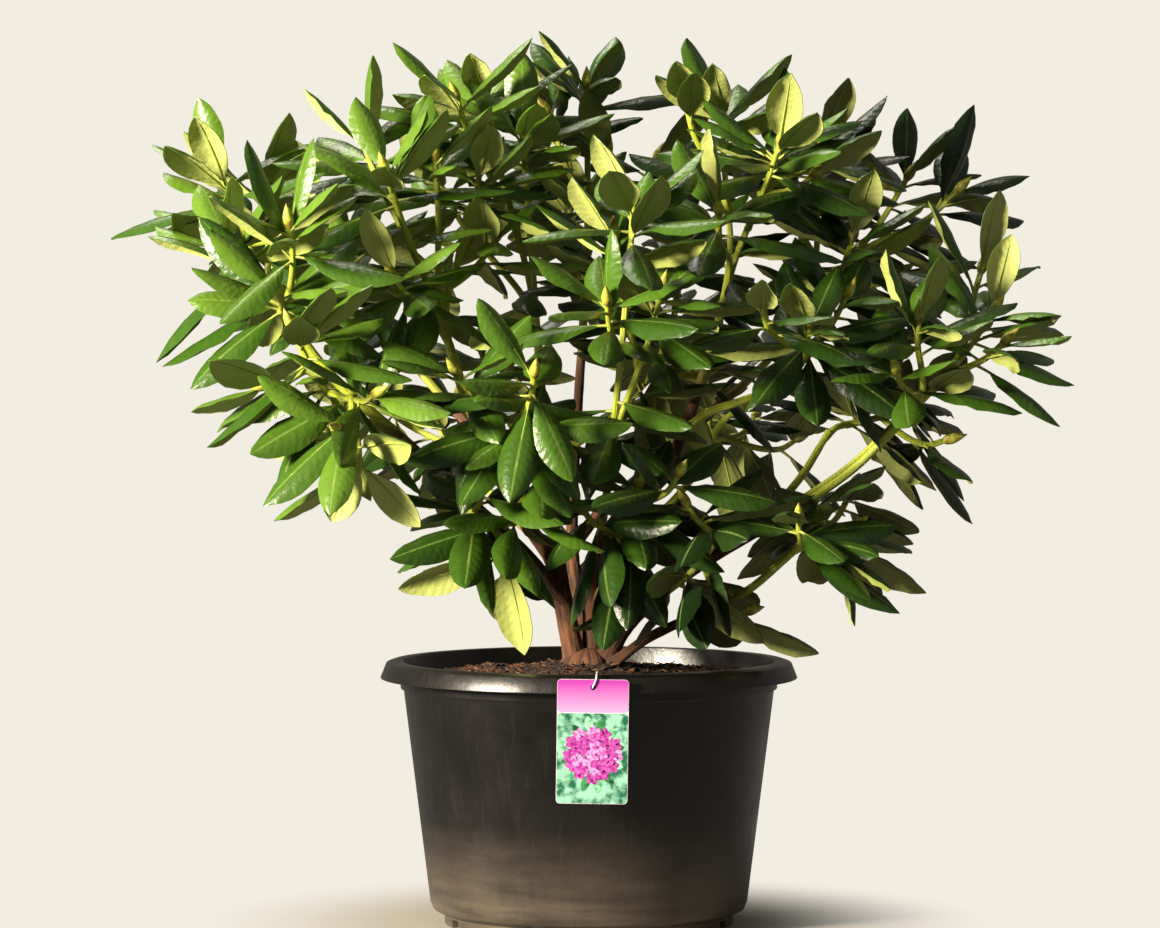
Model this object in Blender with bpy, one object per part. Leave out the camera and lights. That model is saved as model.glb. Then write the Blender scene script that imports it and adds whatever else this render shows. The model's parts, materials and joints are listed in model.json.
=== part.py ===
"""A catawba rhododendron in a black nursery container, at its real size in metres, +Z up.

The origin is on the ground, at the middle of the container's flat underside. The plant is seen
from -Y, so x runs to the right and y away from the viewer. It is an assembly of separate solids:
the container, its compost, a plant label on a tie, the root crown, the stems and boughs, and one
solid for each spray of foliage. A limb starts inside its parent and is cut clear of it, and a
leaf that would touch another spray or a limb is turned a little, or left out.
"""

import math
import random
from collections import namedtuple

import bmesh
import bpy
from mathutils import Matrix, Vector
from mathutils.bvhtree import BVHTree

MM = 0.001
CLEARANCE = 0.3 * MM  # the air between two solids that meet
UP = Vector((0, 0, 1))
GOLDEN_ANGLE = math.radians(137.508)

# The container: a round injection-moulded tub with a turned-down lip and a recessed foot
POT_HEIGHT = 0.266
POT_SEGMENTS = 36
WALL = 2.6 * MM
FOOT_HEIGHT = 0.0125
FOOT_RADIUS = 0.146
FOOT_RING_WIDTH = 0.016
PAD_RADIUS = 0.030
PAD_RECESS = 0.008
BODY_BOTTOM_RADIUS = 0.1605
BODY_TOP_RADIUS = 0.1875
COLLAR_RADIUS = 0.1905
COLLAR_BOTTOM = 0.238
LIP_RADIUS = 0.211
LIP_CREST_RADIUS = 0.201
LIP_BOTTOM = 0.2486
LIP_THICKNESS = 2.8 * MM
DRAIN_NOTCHES = 8
DRAIN_NOTCH_WIDTH = 0.016
DRAIN_NOTCH_HEIGHT = 0.008

# The compost: level under the root crown, a little lower at the container's wall
SOIL_TOP = 0.255
SOIL_EDGE_DROP = 0.006
SOIL_LEVEL_RADIUS = 0.070
SOIL_SEGMENTS = 36

# The label that hangs on the front of the lip
LABEL_WIDTH = 0.0695
LABEL_HEIGHT = 0.121
LABEL_THICKNESS = 0.8 * MM
LABEL_CORNER = 0.004
LABEL_CENTRE_X = 0.003
LABEL_TOP = 0.2630
LABEL_LEAN = math.radians(0.8)
HOLE_RADIUS = 2.6 * MM
HOLE_BELOW_TOP = 0.008
TIE_RADIUS = 0.8 * MM

# The root crown, from its flat cut on the compost to the fork of the stems
CROWN_SECTIONS = ((0.0, 38.0), (5.0, 33.0), (13.0, 28.0), (21.0, 20.0))  # height and radius, mm
CROWN_SIDES = 15
FLARE_LOBES = 5
FLARE_DEPTH = 0.14

# The limbs. Each starts on its parent's axis, at a share of the parent's length or at (x, y) in
# the root crown, and passes through its points, x, y and height above the compost. Radii shrink
# from the first value to the second. All in millimetres.
Limb = namedtuple("Limb", "name parent start radii points")
LIMBS = (
    Limb("left_stem", "crown", (-13, -2), (11.5, 9.0), ((-32, -5, 108),)),
    Limb("middle_stem", "crown", (3, 4), (10.5, 7.5), ((12, 10, 124), (88, 25, 218))),
    Limb("right_bough", "crown", (14, -8), (10.5, 5.4), ((79, -40, 89), (314, -100, 261))),
    Limb("back_stem", "crown", (-4, 16), (10.0, 7.5), ((-19, 140, 125),)),
    Limb("low_right_bough", "crown", (22, -20), (5.4, 3.8), ((196, -130, 123),)),
    Limb("left_bough", "left_stem", 0.6, (7.8, 4.6), ((-152, -100, 207), (-289, -150, 348))),
    Limb("upper_left_bough", "left_stem", 1.0, (8.0, 5.0), ((-84, -20, 184), (-138, -35, 323))),
    Limb("centre_bough", "left_stem", 1.0, (7.0, 4.5), ((-52, 100, 328),)),
    Limb("front_bough", "middle_stem", 0.3, (5.0, 3.9), ((20, -100, 209),)),
    Limb("upper_right_bough", "middle_stem", 1.0, (6.5, 4.2), ((137, 45, 375),)),
    Limb("right_front_bough", "upper_right_bough", 0.2, (4.6, 3.9), ((200, -90, 304),)),
    Limb("right_mid_bough", "right_bough", 0.68, (4.4, 3.7), ((232, -30, 228),)),
    Limb("inner_right_bough", "right_bough", 0.34, (4.6, 3.7), ((118, -128, 130),)),
    Limb("low_left_bough", "left_bough", 0.32, (4.6, 3.7), ((-118, -135, 158),)),
    Limb("left_low_bough", "left_bough", 0.62, (4.4, 3.7), ((-245, -190, 277),)),
    Limb("front_left_bough", "upper_left_bough", 0.6, (4.8, 3.8), ((-92, -130, 255),)),
    Limb("low_middle_bough", "middle_stem", 0.2, (4.6, 3.7), ((30, -95, 128),)),
    Limb("middle_bough", "centre_bough", 0.45, (4.4, 3.7), ((30, 20, 262),)),
    Limb("back_left_bough", "back_stem", 1.0, (6.2, 4.2), ((-114, 230, 227), (-200, 270, 332))),
    Limb("back_centre_bough", "back_stem", 1.0, (6.2, 4.0), ((-3, 190, 406),)),
    Limb("back_right_bough", "back_stem", 1.0, (6.6, 4.0), ((97, 210, 227), (213, 220, 343))),
    Limb("back_low_left_bough", "back_stem", 0.7, (4.8, 3.7), ((-115, 235, 188),)),
    Limb("back_low_right_bough", "back_stem", 0.7, (4.8, 3.7), ((112, 240, 188),)),
)
STEM_NAMES = ("left_stem", "middle_stem", "back_stem", "right_bough")

# The sprays: the bough whose tip carries each, where its leading shoots end, in millimetres like
# the limbs, how many side shoots the seeded rule adds to them, and how much its low leaves hang
Spray = namedtuple("Spray", "name bough leaders side_shoots hang")
SPRAYS = (
    Spray(
        "left_spray", "left_bough",
        ((-300, -195, 380), (-358, -120, 432), (-366, -60, 500), (-330, -10, 484)),
        1, 1.0,
    ),
    Spray("left_low_spray", "left_low_bough", ((-285, -228, 346), (-208, -245, 284)), 0, 0.9),
    Spray(
        "upper_left_spray", "upper_left_bough",
        ((-200, -110, 500), (-153, -80, 514), (-110, -40, 499), (-243, -60, 425)),
        1, 0.8,
    ),
    Spray("front_left_spray", "front_left_bough", ((-127, -190, 302), (-53, -215, 253)), 1, 1.5),
    Spray("low_left_spray", "low_left_bough", ((-104, -188, 188), (-58, -185, 168)), 0, 1.0),
    Spray("top_left_spray", "centre_bough", ((-105, 50, 576), (-67, 0, 540), (-154, 150, 495)), 1, 0.8),
    Spray("centre_spray", "front_bough", ((43, -180, 466), (70, -165, 382)), 1, 0.8),
    Spray("low_middle_spray", "low_middle_bough", ((48, -135, 190), (-5, -145, 168)), 0, 1.2),
    Spray("middle_spray", "middle_bough", ((30, -20, 400), (80, 10, 340)), 1, 0.7),
    Spray(
        "top_right_spray", "upper_right_bough",
        ((137, 40, 566), (190, -50, 530), (128, -110, 460)),
        1, 0.8,
    ),
    Spray(
        "right_front_spray", "right_front_bough",
        ((216, -150, 348), (253, -100, 376), (264, -20, 435)),
        0, 0.6,
    ),
    Spray("right_spray", "right_bough", ((324, -130, 352), (400, -80, 362), (302, -150, 304)), 0, 0.2),
    Spray("right_mid_spray", "right_mid_bough", ((285, 30, 262),), 1, 0.6),
    Spray(
        "low_right_spray", "low_right_bough",
        ((205, -165, 158), (258, -110, 148), (266, -10, 186)),
        0, 0.3,
    ),
    Spray("inner_right_spray", "inner_right_bough", ((98, -150, 172), (70, -125, 94)), 0, 0.9),
    Spray(
        "back_top_spray", "back_centre_bough",
        ((-2, 110, 592), (70, 225, 522), (-20, 300, 470)),
        2, 0.8,
    ),
    Spray("back_left_spray", "back_left_bough", ((-260, 240, 422), (-296, 150, 466)), 3, 0.8),
    Spray("back_right_spray", "back_right_bough", ((244, 190, 535), (330, 150, 500)), 3, 0.8),
    Spray("back_low_left_spray", "back_low_left_bough", ((-160, 300, 240),), 2, 0.9),
    Spray("back_low_right_spray", "back_low_right_bough", ((130, 305, 268),), 2, 0.9),
)

# How the limbs and shoots are built
STEPS_PER_SPAN = 4
FOLLOW_PARENT = 0.55  # how far a limb sets off along its parent
TURN_UP = 0.45  # how far a limb's end turns up
LIMB_SIDES = 6
STEM_SIDES = 8
SHOOT_SIDES = 3
SHOOT_STEPS = 4
FORK_STUB = 0.014
LIMB_RADIUS_AT_SPRAY = 5.8 * MM
SHOOT_RADII = (3.6 * MM, 3.0 * MM)
BUD_RADIUS = 5.6 * MM
BUD_LENGTH = 25 * MM
SIDE_SHOOT_LENGTHS = (0.060, 0.105)
SIDE_SHOOT_STARTS = (0.25, 0.6)  # as a share of the leading shoot
SIDE_SHOOT_ANGLES = (math.radians(35), math.radians(65))
TIP_SPACING = 0.062
CROWN_RADIUS = 0.44
CROWN_TOP = 0.60  # above the compost, for the highest shoot tips
CROWN_SHOULDER = 0.16  # how much lower the crown is at its edge

# How the leaves sit: a rosette of young leaves at each bud, and a collar of older ones lower down
ROSETTE_LEAVES = 7
FORK_LEAVES = 4
MIDDLE_LEAVES = 2
ROSETTE_DEPTH = 30 * MM
LOW_CROWN, HIGH_CROWN = 0.425, 0.805  # heights between which leaves change from hanging to rising
HANGING = (math.radians(-36), math.radians(10))  # rise of the outer and the inner leaves
RISING = (math.radians(-2), math.radians(52))
LEAF_LENGTHS = (122 * MM, 90 * MM)  # the outer and the inner leaves of a rosette
LEAF_WIDTH_SHARE = 0.345
LEAF_DROOP = (math.radians(4), math.radians(32))
WHORL_LIFT = 1.2  # how much more a whorl faces up than its shoot does
LEAF_ROLL = 0.42
KEEL_SHARE = 0.016  # a leaf's thickness at its midrib, as a share of its length
PETIOLE_RADIUS = 1.25 * MM
LEAF_STATIONS = ((0.36, 0.84), (0.78, 0.90))  # share of the length, share of the half width
TRIES = 12
TEST_MARGIN = 1.7 * MM  # how much thicker and wider a leaf is when it is tested for room
KEPT_SHARE = 0.56  # of a spray's triangles, once the slivers where its leaves join are closed up

MATERIALS = {
    "pot_plastic": ((0.022, 0.021, 0.020), 0.42),
    "compost": ((0.055, 0.030, 0.018), 0.95),
    "label_card": ((0.86, 0.30, 0.66), 0.35),
    "label_tie": ((0.85, 0.85, 0.83), 0.40),
    "bark": ((0.105, 0.052, 0.034), 0.85),
    "foliage": ((0.065, 0.150, 0.022), 0.38),
}


def clear_scene():
    """Empties the file that the script runs in."""
    for thing in list(bpy.data.objects):
        bpy.data.objects.remove(thing)


def make_materials():
    """One Principled material for each entry of MATERIALS."""
    made = {}
    for name, (colour, roughness) in MATERIALS.items():
        material = bpy.data.materials.new(name)
        material.use_nodes = True
        shader = material.node_tree.nodes["Principled BSDF"]
        shader.inputs["Base Color"].default_value = (*colour, 1)
        shader.inputs["Roughness"].default_value = roughness
        shader.inputs["Metallic"].default_value = 0
        made[name] = material
    return made


def make_object(name, mesh, material=None, origin=None, parent=None):
    """An object for a mesh whose vertices are in world space, with its own origin where origin says."""
    origin = Vector(origin or (0, 0, 0))
    mesh.transform(Matrix.Translation(-origin))
    thing = bpy.data.objects.new(name, mesh)
    thing.location = origin
    bpy.context.scene.collection.objects.link(thing)
    if material:
        mesh.materials.append(material)
    thing.parent = parent
    return thing


def mesh_of(name, vertices, faces, smooth=True):
    """A mesh of triangles from vertices and faces, turned to point outwards."""
    mesh = bpy.data.meshes.new(name)
    mesh.from_pydata([tuple(v) for v in vertices], [], faces)
    form = bmesh.new()
    form.from_mesh(mesh)
    bmesh.ops.triangulate(form, faces=form.faces)
    bmesh.ops.recalc_face_normals(form, faces=form.faces)
    form.to_mesh(mesh)
    form.free()
    if smooth:
        mesh.shade_smooth()
    return mesh


def lathe(name, profile, segments):
    """A closed solid turned about Z from a closed profile of (radius, height) points."""
    form = bmesh.new()
    ring = [form.verts.new((radius, 0, height)) for radius, height in profile]
    edges = [form.edges.new((a, b)) for a, b in zip(ring, ring[1:]) if a.co.x or b.co.x]
    if profile[0][0] or profile[-1][0]:
        edges.append(form.edges.new((ring[-1], ring[0])))
    half_step = math.pi / segments
    bmesh.ops.rotate(form, verts=form.verts, matrix=Matrix.Rotation(half_step, 3, "Z"))
    bmesh.ops.spin(
        form, geom=ring + edges, cent=(0, 0, 0), axis=(0, 0, 1), angle=math.tau,
        steps=segments, use_merge=True,
    )
    bmesh.ops.remove_doubles(form, verts=form.verts, dist=0.01 * MM)
    bmesh.ops.recalc_face_normals(form, faces=form.faces)
    mesh = bpy.data.meshes.new(name)
    form.to_mesh(mesh)
    form.free()
    mesh.shade_smooth()
    mesh.set_sharp_from_angle(angle=math.radians(35))
    return mesh


def loft(sections, tip=None):
    """Vertices and faces of a closed skin over rings of points, ending in a face or in a tip."""
    sides = len(sections[0])
    vertices = [point for section in sections for point in section]
    faces = [tuple(range(sides))]
    for start in range(0, sides * (len(sections) - 1), sides):
        for i in range(sides):
            j = (i + 1) % sides
            faces.append((start + i, start + j, start + sides + j, start + sides + i))
    last = len(vertices) - sides
    if tip is None:
        faces.append(tuple(range(last, last + sides)))
    else:
        vertices.append(tip)
        faces += [(last + i, last + (i + 1) % sides, len(vertices) - 1) for i in range(sides)]
    return vertices, faces


def smooth_path(points, steps, first=None, last=None):
    """Points along a Catmull-Rom curve through the given ones, with set directions at its ends."""
    before, after = points[0] * 2 - points[1], points[-1] * 2 - points[-2]
    if first:
        before = points[1] - first * (2 * (points[1] - points[0]).length)
    if last:
        after = points[-2] + last * (2 * (points[-1] - points[-2]).length)
    ends = [before, *points, after]
    path = []
    for a, b, c, d in zip(ends, ends[1:], ends[2:], ends[3:]):
        for step in range(steps):
            t = step / steps
            path.append(
                b
                + (c - a) * (0.5 * t)
                + (a * 2 - b * 5 + c * 4 - d) * (0.5 * t * t)
                + (b * 3 - a - c * 3 + d) * (0.5 * t * t * t)
            )
    return path + [points[-1].copy()]


def bezier(a, b, c, d, steps):
    """Points along a cubic Bezier curve."""
    path = []
    for step in range(steps + 1):
        t = step / steps
        u = 1 - t
        path.append(a * u**3 + b * (3 * u * u * t) + c * (3 * u * t * t) + d * t**3)
    return path


def tangents(path):
    """The direction of travel at each point of a path."""
    ahead = path[1:] + [path[-1] * 2 - path[-2]]
    behind = [path[0] * 2 - path[1]] + path[:-1]
    return [(b - a).normalized() for a, b in zip(behind, ahead)]


def tube_sections(path, radii, sides):
    """A ring of points round each point of a path, turning with it and never twisting."""
    directions = tangents(path)
    side = directions[0].orthogonal().normalized()
    sections = []
    for point, direction, radius in zip(path, directions, radii):
        side = (side - direction * side.dot(direction)).normalized()
        across = direction.cross(side)
        turns = (math.tau * k / sides for k in range(sides))
        sections.append([point + (side * math.cos(a) + across * math.sin(a)) * radius for a in turns])
    return sections


def tapered(path, first, last):
    """Radii that shrink evenly along a path."""
    return [first + (last - first) * i / (len(path) - 1) for i in range(len(path))]


def tube(path, radii, sides, extra=0.0):
    """Vertices and faces of a tube; extra makes it that much fatter and longer at both ends."""
    path = list(path)
    if extra:
        directions = tangents(path)
        path = [path[0] - directions[0] * extra, *path, path[-1] + directions[-1] * extra]
        radii = [radii[0] + extra, *(r + extra for r in radii), radii[-1] + extra]
    return loft(tube_sections(path, radii, sides))


def shoot_shape(path, radii):
    """A shoot with the pointed bud at its end."""
    end = tangents(path)[-1]
    belly = path[-1] + end * (BUD_LENGTH * 0.42)
    sections = tube_sections([*path, belly], [*radii, BUD_RADIUS], SHOOT_SIDES)
    return loft(sections, belly + end * (BUD_LENGTH * 0.58))


def tree_of(shape):
    """A search tree of a shape's faces, for testing whether two shapes cross."""
    return BVHTree.FromPolygons(shape[0], shape[1])


def apply_modifiers(thing):
    """Makes an object's modifiers part of its mesh."""
    graph = bpy.context.evaluated_depsgraph_get()
    mesh = bpy.data.meshes.new_from_object(thing.evaluated_get(graph))
    thing.modifiers.clear()
    old = thing.data
    thing.data = mesh
    bpy.data.meshes.remove(old)


def boolean(thing, operation, solver, other=None, collection=None):
    """Applies a Boolean to an object, with one object or a collection as the other side."""
    modifier = thing.modifiers.new("Boolean", "BOOLEAN")
    modifier.operation = operation
    modifier.solver = solver
    if collection:
        modifier.operand_type = "COLLECTION"
        modifier.collection = collection
    else:
        modifier.object = other
    apply_modifiers(thing)


def keep_largest_body(mesh):
    """Drops the loose scraps that a cut leaves, keeping the body with the most vertices."""
    form = bmesh.new()
    form.from_mesh(mesh)
    left, bodies = set(form.verts), []
    while left:
        body, front = set(), [left.pop()]
        while front:
            vertex = front.pop()
            body.add(vertex)
            near = {edge.other_vert(vertex) for edge in vertex.link_edges} & left
            left -= near
            front += near
        bodies.append(body)
    keep = max(bodies, key=len)
    bmesh.ops.delete(form, geom=[v for v in form.verts if v not in keep], context="VERTS")
    form.to_mesh(mesh)
    form.free()


def pot_profile():
    """The container's section, (radius, height): up the outside, over the lip and down the inside."""
    inner_top = BODY_TOP_RADIUS - WALL
    lip_inner = LIP_RADIUS - LIP_THICKNESS
    return (
        (0, 0),
        (PAD_RADIUS, 0),
        (PAD_RADIUS, PAD_RECESS),
        (FOOT_RADIUS - FOOT_RING_WIDTH, PAD_RECESS),
        (FOOT_RADIUS - FOOT_RING_WIDTH, 0),
        (FOOT_RADIUS, 0),
        (FOOT_RADIUS, FOOT_HEIGHT - 0.002),
        (BODY_BOTTOM_RADIUS - 0.009, FOOT_HEIGHT),
        (BODY_BOTTOM_RADIUS - 0.003, FOOT_HEIGHT + 0.003),
        (BODY_BOTTOM_RADIUS, FOOT_HEIGHT + 0.010),
        (BODY_TOP_RADIUS, COLLAR_BOTTOM),
        (COLLAR_RADIUS, COLLAR_BOTTOM),
        (COLLAR_RADIUS, POT_HEIGHT - 0.006),
        (LIP_CREST_RADIUS - 0.002, POT_HEIGHT - 0.006),
        (lip_inner, LIP_BOTTOM),
        (LIP_RADIUS, LIP_BOTTOM),
        (LIP_CREST_RADIUS + 0.004, POT_HEIGHT - 0.002),
        (LIP_CREST_RADIUS - 0.002, POT_HEIGHT),
        (inner_top + 0.003, POT_HEIGHT),
        (inner_top, COLLAR_BOTTOM),
        (BODY_BOTTOM_RADIUS - WALL, FOOT_HEIGHT + 0.010),
        (BODY_BOTTOM_RADIUS - 0.014, FOOT_HEIGHT + WALL),
        (0, FOOT_HEIGHT + WALL),
    )


def make_pot(materials, parent):
    """The container, with notches through its foot ring that let water out."""
    mesh = lathe("pot", pot_profile(), POT_SEGMENTS)
    pot = make_object("pot", mesh, materials["pot_plastic"], parent=parent)
    form = bmesh.new()
    size = (FOOT_RING_WIDTH * 2.2, DRAIN_NOTCH_WIDTH, DRAIN_NOTCH_HEIGHT * 2)
    reach = FOOT_RADIUS - FOOT_RING_WIDTH / 2
    for k in range(DRAIN_NOTCHES):
        turn = Matrix.Rotation(math.tau * (k + 0.5) / DRAIN_NOTCHES, 4, "Z")
        cube = bmesh.ops.create_cube(form, size=1, matrix=Matrix.Diagonal((*size, 1)))
        bmesh.ops.transform(form, verts=cube["verts"], matrix=turn @ Matrix.Translation((reach, 0, 0)))
    notch_mesh = bpy.data.meshes.new("drain_notches")
    form.to_mesh(notch_mesh)
    form.free()
    notches = make_object("drain_notches", notch_mesh)
    boolean(pot, "DIFFERENCE", "EXACT", other=notches)
    bpy.data.objects.remove(notches)


def make_soil(materials, parent):
    """The compost that fills the container, level under the root crown."""
    inner_top = BODY_TOP_RADIUS - WALL
    inner_bottom = BODY_BOTTOM_RADIUS - WALL
    floor = FOOT_HEIGHT + WALL
    edge = SOIL_TOP - SOIL_EDGE_DROP
    profile = (
        (0, floor + CLEARANCE),
        (BODY_BOTTOM_RADIUS - 0.015, floor + CLEARANCE),
        (inner_bottom - 2 * CLEARANCE, FOOT_HEIGHT + 0.0105),
        (inner_top - 2 * CLEARANCE, COLLAR_BOTTOM),
        (inner_top - CLEARANCE, edge),
        (SOIL_LEVEL_RADIUS, SOIL_TOP),
        (0, SOIL_TOP),
    )
    make_object("soil", lathe("soil", profile, SOIL_SEGMENTS), materials["compost"], parent=parent)


def rounded_rectangle(width, height, corner, steps):
    """The outline of a card with round corners, about its own middle."""
    points = []
    for quarter, (x, z) in enumerate(((1, 1), (-1, 1), (-1, -1), (1, -1))):
        for step in range(steps + 1):
            angle = math.pi / 2 * (quarter + step / steps)
            points.append((
                x * (width / 2 - corner) + corner * math.cos(angle),
                z * (height / 2 - corner) + corner * math.sin(angle),
            ))
    return points


def make_label(materials, parent):
    """The plant label: a card with round corners and a hole, hanging on the front of the lip."""
    back = -(LIP_RADIUS + CLEARANCE)
    outline = rounded_rectangle(LABEL_WIDTH, LABEL_HEIGHT, LABEL_CORNER, 3)
    faces = [[Vector((x, y, z)) for x, z in outline] for y in (0, -LABEL_THICKNESS)]
    mesh = mesh_of("label_card", *loft(faces), smooth=False)
    card = make_object("label_card", mesh, materials["label_card"], parent=parent)
    form = bmesh.new()
    place = Matrix.Translation((0, 0, LABEL_HEIGHT / 2 - HOLE_BELOW_TOP))
    bmesh.ops.create_cone(
        form, cap_ends=True, segments=10, radius1=HOLE_RADIUS, radius2=HOLE_RADIUS,
        depth=4 * LABEL_THICKNESS, matrix=place @ Matrix.Rotation(math.pi / 2, 4, "X"),
    )
    punch_mesh = bpy.data.meshes.new("punch")
    form.to_mesh(punch_mesh)
    form.free()
    punch = make_object("punch", punch_mesh)
    boolean(card, "DIFFERENCE", "EXACT", other=punch)
    bpy.data.objects.remove(punch)
    card.location = (LABEL_CENTRE_X, back, LABEL_TOP - LABEL_HEIGHT / 2)
    card.rotation_euler = (0, LABEL_LEAN, 0)


def make_tie(materials, parent):
    """The tie: out of the label's hole, up over the lip and down into the compost."""
    x = LABEL_CENTRE_X + (LABEL_HEIGHT / 2 - HOLE_BELOW_TOP) * math.sin(LABEL_LEAN)
    face = -(LIP_RADIUS + CLEARANCE + LABEL_THICKNESS)
    over = TIE_RADIUS + CLEARANCE
    hole = LABEL_TOP - HOLE_BELOW_TOP
    inner = -(BODY_TOP_RADIUS - WALL)
    points = [
        Vector((x - 0.0005, face + 0.0004, hole - 0.0003)),
        Vector((x, face - over - 0.0004, hole + 0.0012)),
        Vector((x + 0.003, face - over, LABEL_TOP + 0.0006)),
        Vector((x + 0.0035, face + 0.003, POT_HEIGHT + over + 0.0004)),
        Vector((x + 0.004, inner - 0.010, POT_HEIGHT + over)),
        Vector((x + 0.004, inner + 0.001, POT_HEIGHT + over)),
        Vector((x + 0.004, inner + 0.006, SOIL_TOP)),
        Vector((x + 0.004, inner + 0.007, SOIL_TOP - SOIL_EDGE_DROP * 0.9 + CLEARANCE)),
    ]
    path = smooth_path(points, 2)
    shape = tube(path, [TIE_RADIUS] * len(path), 6)
    make_object("label_tie", mesh_of("label_tie", *shape), materials["label_tie"], parent=parent)


def crown_shape(extra=0.0):
    """The root crown: rings that flare into lobes at the ground, under a rounded top."""
    sections = []
    for height, radius in CROWN_SECTIONS:
        flare = FLARE_DEPTH * (1 - height / CROWN_SECTIONS[-1][0])
        ring = []
        for k in range(CROWN_SIDES):
            turn = math.tau * k / CROWN_SIDES
            reach = radius * MM * (1 + flare * math.cos(FLARE_LOBES * turn)) + extra
            level = SOIL_TOP + CLEARANCE + height * MM
            ring.append(Vector((reach * math.cos(turn), reach * math.sin(turn), level)))
        sections.append(ring)
    top = SOIL_TOP + CLEARANCE + (CROWN_SECTIONS[-1][0] + 3) * MM + extra
    return loft(sections, Vector((0, 0, top)))


def above_compost(x, y, height):
    """A point of the tables, in metres."""
    return Vector((x * MM, y * MM, SOIL_TOP + height * MM))


def point_along(path, share):
    """The point at a share of a path's steps, and the path's direction there."""
    place = share * (len(path) - 1)
    whole = min(int(place), len(path) - 2)
    return path[whole].lerp(path[whole + 1], place - whole), (path[whole + 1] - path[whole]).normalized()


class Plan:
    """Where every limb and shoot runs, and what already takes up room."""

    def __init__(self):
        self.paths, self.radii, self.sides = {}, {}, {}
        self.taken = []  # by thing: its owner, search trees of all of it and of its blade, its ball
        self.tips = []
        for limb in LIMBS:
            self.add_limb(limb)
        self.shoots = {spray.name: self.leading_shoots(spray) for spray in SPRAYS}
        for spray in SPRAYS:
            self.add_side_shoots(spray)

    def take(self, name, shape, blade=None):
        """Notes the room that a shape takes up: a leaf with its blade, a twig or limb without one."""
        low, high = Vector(map(min, *shape[0])), Vector(map(max, *shape[0]))
        blade_tree = tree_of(blade) if blade else None
        ball = (low + high) / 2, (high - low).length / 2
        self.taken.append((name, tree_of(shape), blade_tree, *ball))

    def add_limb(self, limb):
        if limb.parent == "crown":
            root = above_compost(*limb.start, 8)
            along = Vector((root.x, root.y, 0.05)).normalized()
        else:
            parent = self.paths[limb.parent]
            root, along = point_along(parent, min(limb.start, 1 - 0.3 / (len(parent) - 1)))
        points = [root, *(above_compost(*p) for p in limb.points)]
        first = (along * FOLLOW_PARENT + (points[1] - root).normalized()).normalized()
        last = ((points[-1] - points[-2]).normalized() + UP * TURN_UP).normalized()
        path = smooth_path(points, STEPS_PER_SPAN, first, last)
        self.paths[limb.name] = path
        self.radii[limb.name] = tapered(path, limb.radii[0] * MM, limb.radii[1] * MM)
        self.sides[limb.name] = STEM_SIDES if limb.name in STEM_NAMES else LIMB_SIDES
        self.take(limb.name, self.limb_shape(limb.name))

    def limb_shape(self, name, extra=0.0):
        return tube(self.paths[name], self.radii[name], self.sides[name], extra)

    def shoot_path(self, start, heading, end):
        """A shoot that leaves along a heading, swings outwards and ends pointing up."""
        length = (end - start).length
        outward = Vector((end.x, end.y, 0)) * 1.25
        rise = (UP * 1.1 + outward + (end - start).normalized() * 0.7).normalized()
        handles = start + heading * length * 0.30, end - rise * length * 0.35
        return bezier(start - heading * 0.004, *handles, end, SHOOT_STEPS)

    def leading_shoots(self, spray):
        """The paths of a spray's stub and leading shoots, from its bough's tip to each bud."""
        bough = self.paths[spray.bough]
        heading = tangents(bough)[-1]
        start = bough[-1] + heading * CLEARANCE
        fork = start + heading * FORK_STUB
        shoots = [[start, fork]]
        for tip in spray.leaders:
            shoots.append(self.shoot_path(fork, heading, above_compost(*tip)))
            self.tips.append(shoots[-1][-1])
        self.take(spray.name, tube(shoots[0], [LIMB_RADIUS_AT_SPRAY] * 2, LIMB_SIDES))
        for path in shoots[1:]:
            self.take(spray.name, shoot_shape(path, [SHOOT_RADII[0]] * len(path)))
        return shoots

    def add_side_shoots(self, spray):
        """Side shoots by a seeded rule: each leaves a leader and ends where no other tip is near."""
        rng = random.Random(f"{spray.name} side shoots")
        leaders = self.shoots[spray.name][1:]
        added = 0
        for attempt in range(60):
            if added == spray.side_shoots:
                break
            start, along = point_along(rng.choice(leaders), rng.uniform(*SIDE_SHOOT_STARTS))
            across = Matrix.Rotation(rng.uniform(0, math.tau), 3, along) @ along.orthogonal()
            heading = Matrix.Rotation(rng.uniform(*SIDE_SHOOT_ANGLES), 3, across) @ along
            outward = Vector((start.x, start.y, 0)) * 1.2
            end = start + (heading + UP * 0.3 + outward).normalized() * rng.uniform(*SIDE_SHOOT_LENGTHS)
            radius = math.hypot(end.x, end.y)
            roof = SOIL_TOP + CROWN_TOP - CROWN_SHOULDER * (radius / CROWN_RADIUS) ** 2
            nearest = min((end - tip).length for tip in self.tips)
            if radius > CROWN_RADIUS or end.z > roof or nearest < TIP_SPACING:
                continue
            path = self.shoot_path(start, heading, end)
            room = shoot_shape(path[1:], [SHOOT_RADII[0] + TEST_MARGIN] * SHOOT_STEPS)
            if self.has_room(spray.name, room, room):
                self.shoots[spray.name].append(path)
                self.tips.append(end)
                self.take(spray.name, shoot_shape(path, [SHOOT_RADII[0]] * len(path)))
                added += 1

    def has_room(self, name, whole, blade):
        """Whether a leaf is clear of other sprays and limbs, and its blade of its own spray too."""
        low, high = Vector(map(min, *whole[0])), Vector(map(max, *whole[0]))
        middle, reach = (low + high) / 2, (high - low).length / 2
        if low.z < POT_HEIGHT + 0.004:
            return False
        whole_tree, blade_tree = tree_of(whole), tree_of(blade)
        for owner, tree, other_blade, centre, size in self.taken:
            if (centre - middle).length > size + reach:
                continue
            if owner != name:
                if whole_tree.overlap(tree):
                    return False
            elif blade_tree.overlap(tree) or (other_blade and whole_tree.overlap(other_blade)):
                return False
        return True


Leaf = namedtuple("Leaf", "root heading side length width droop")


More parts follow.
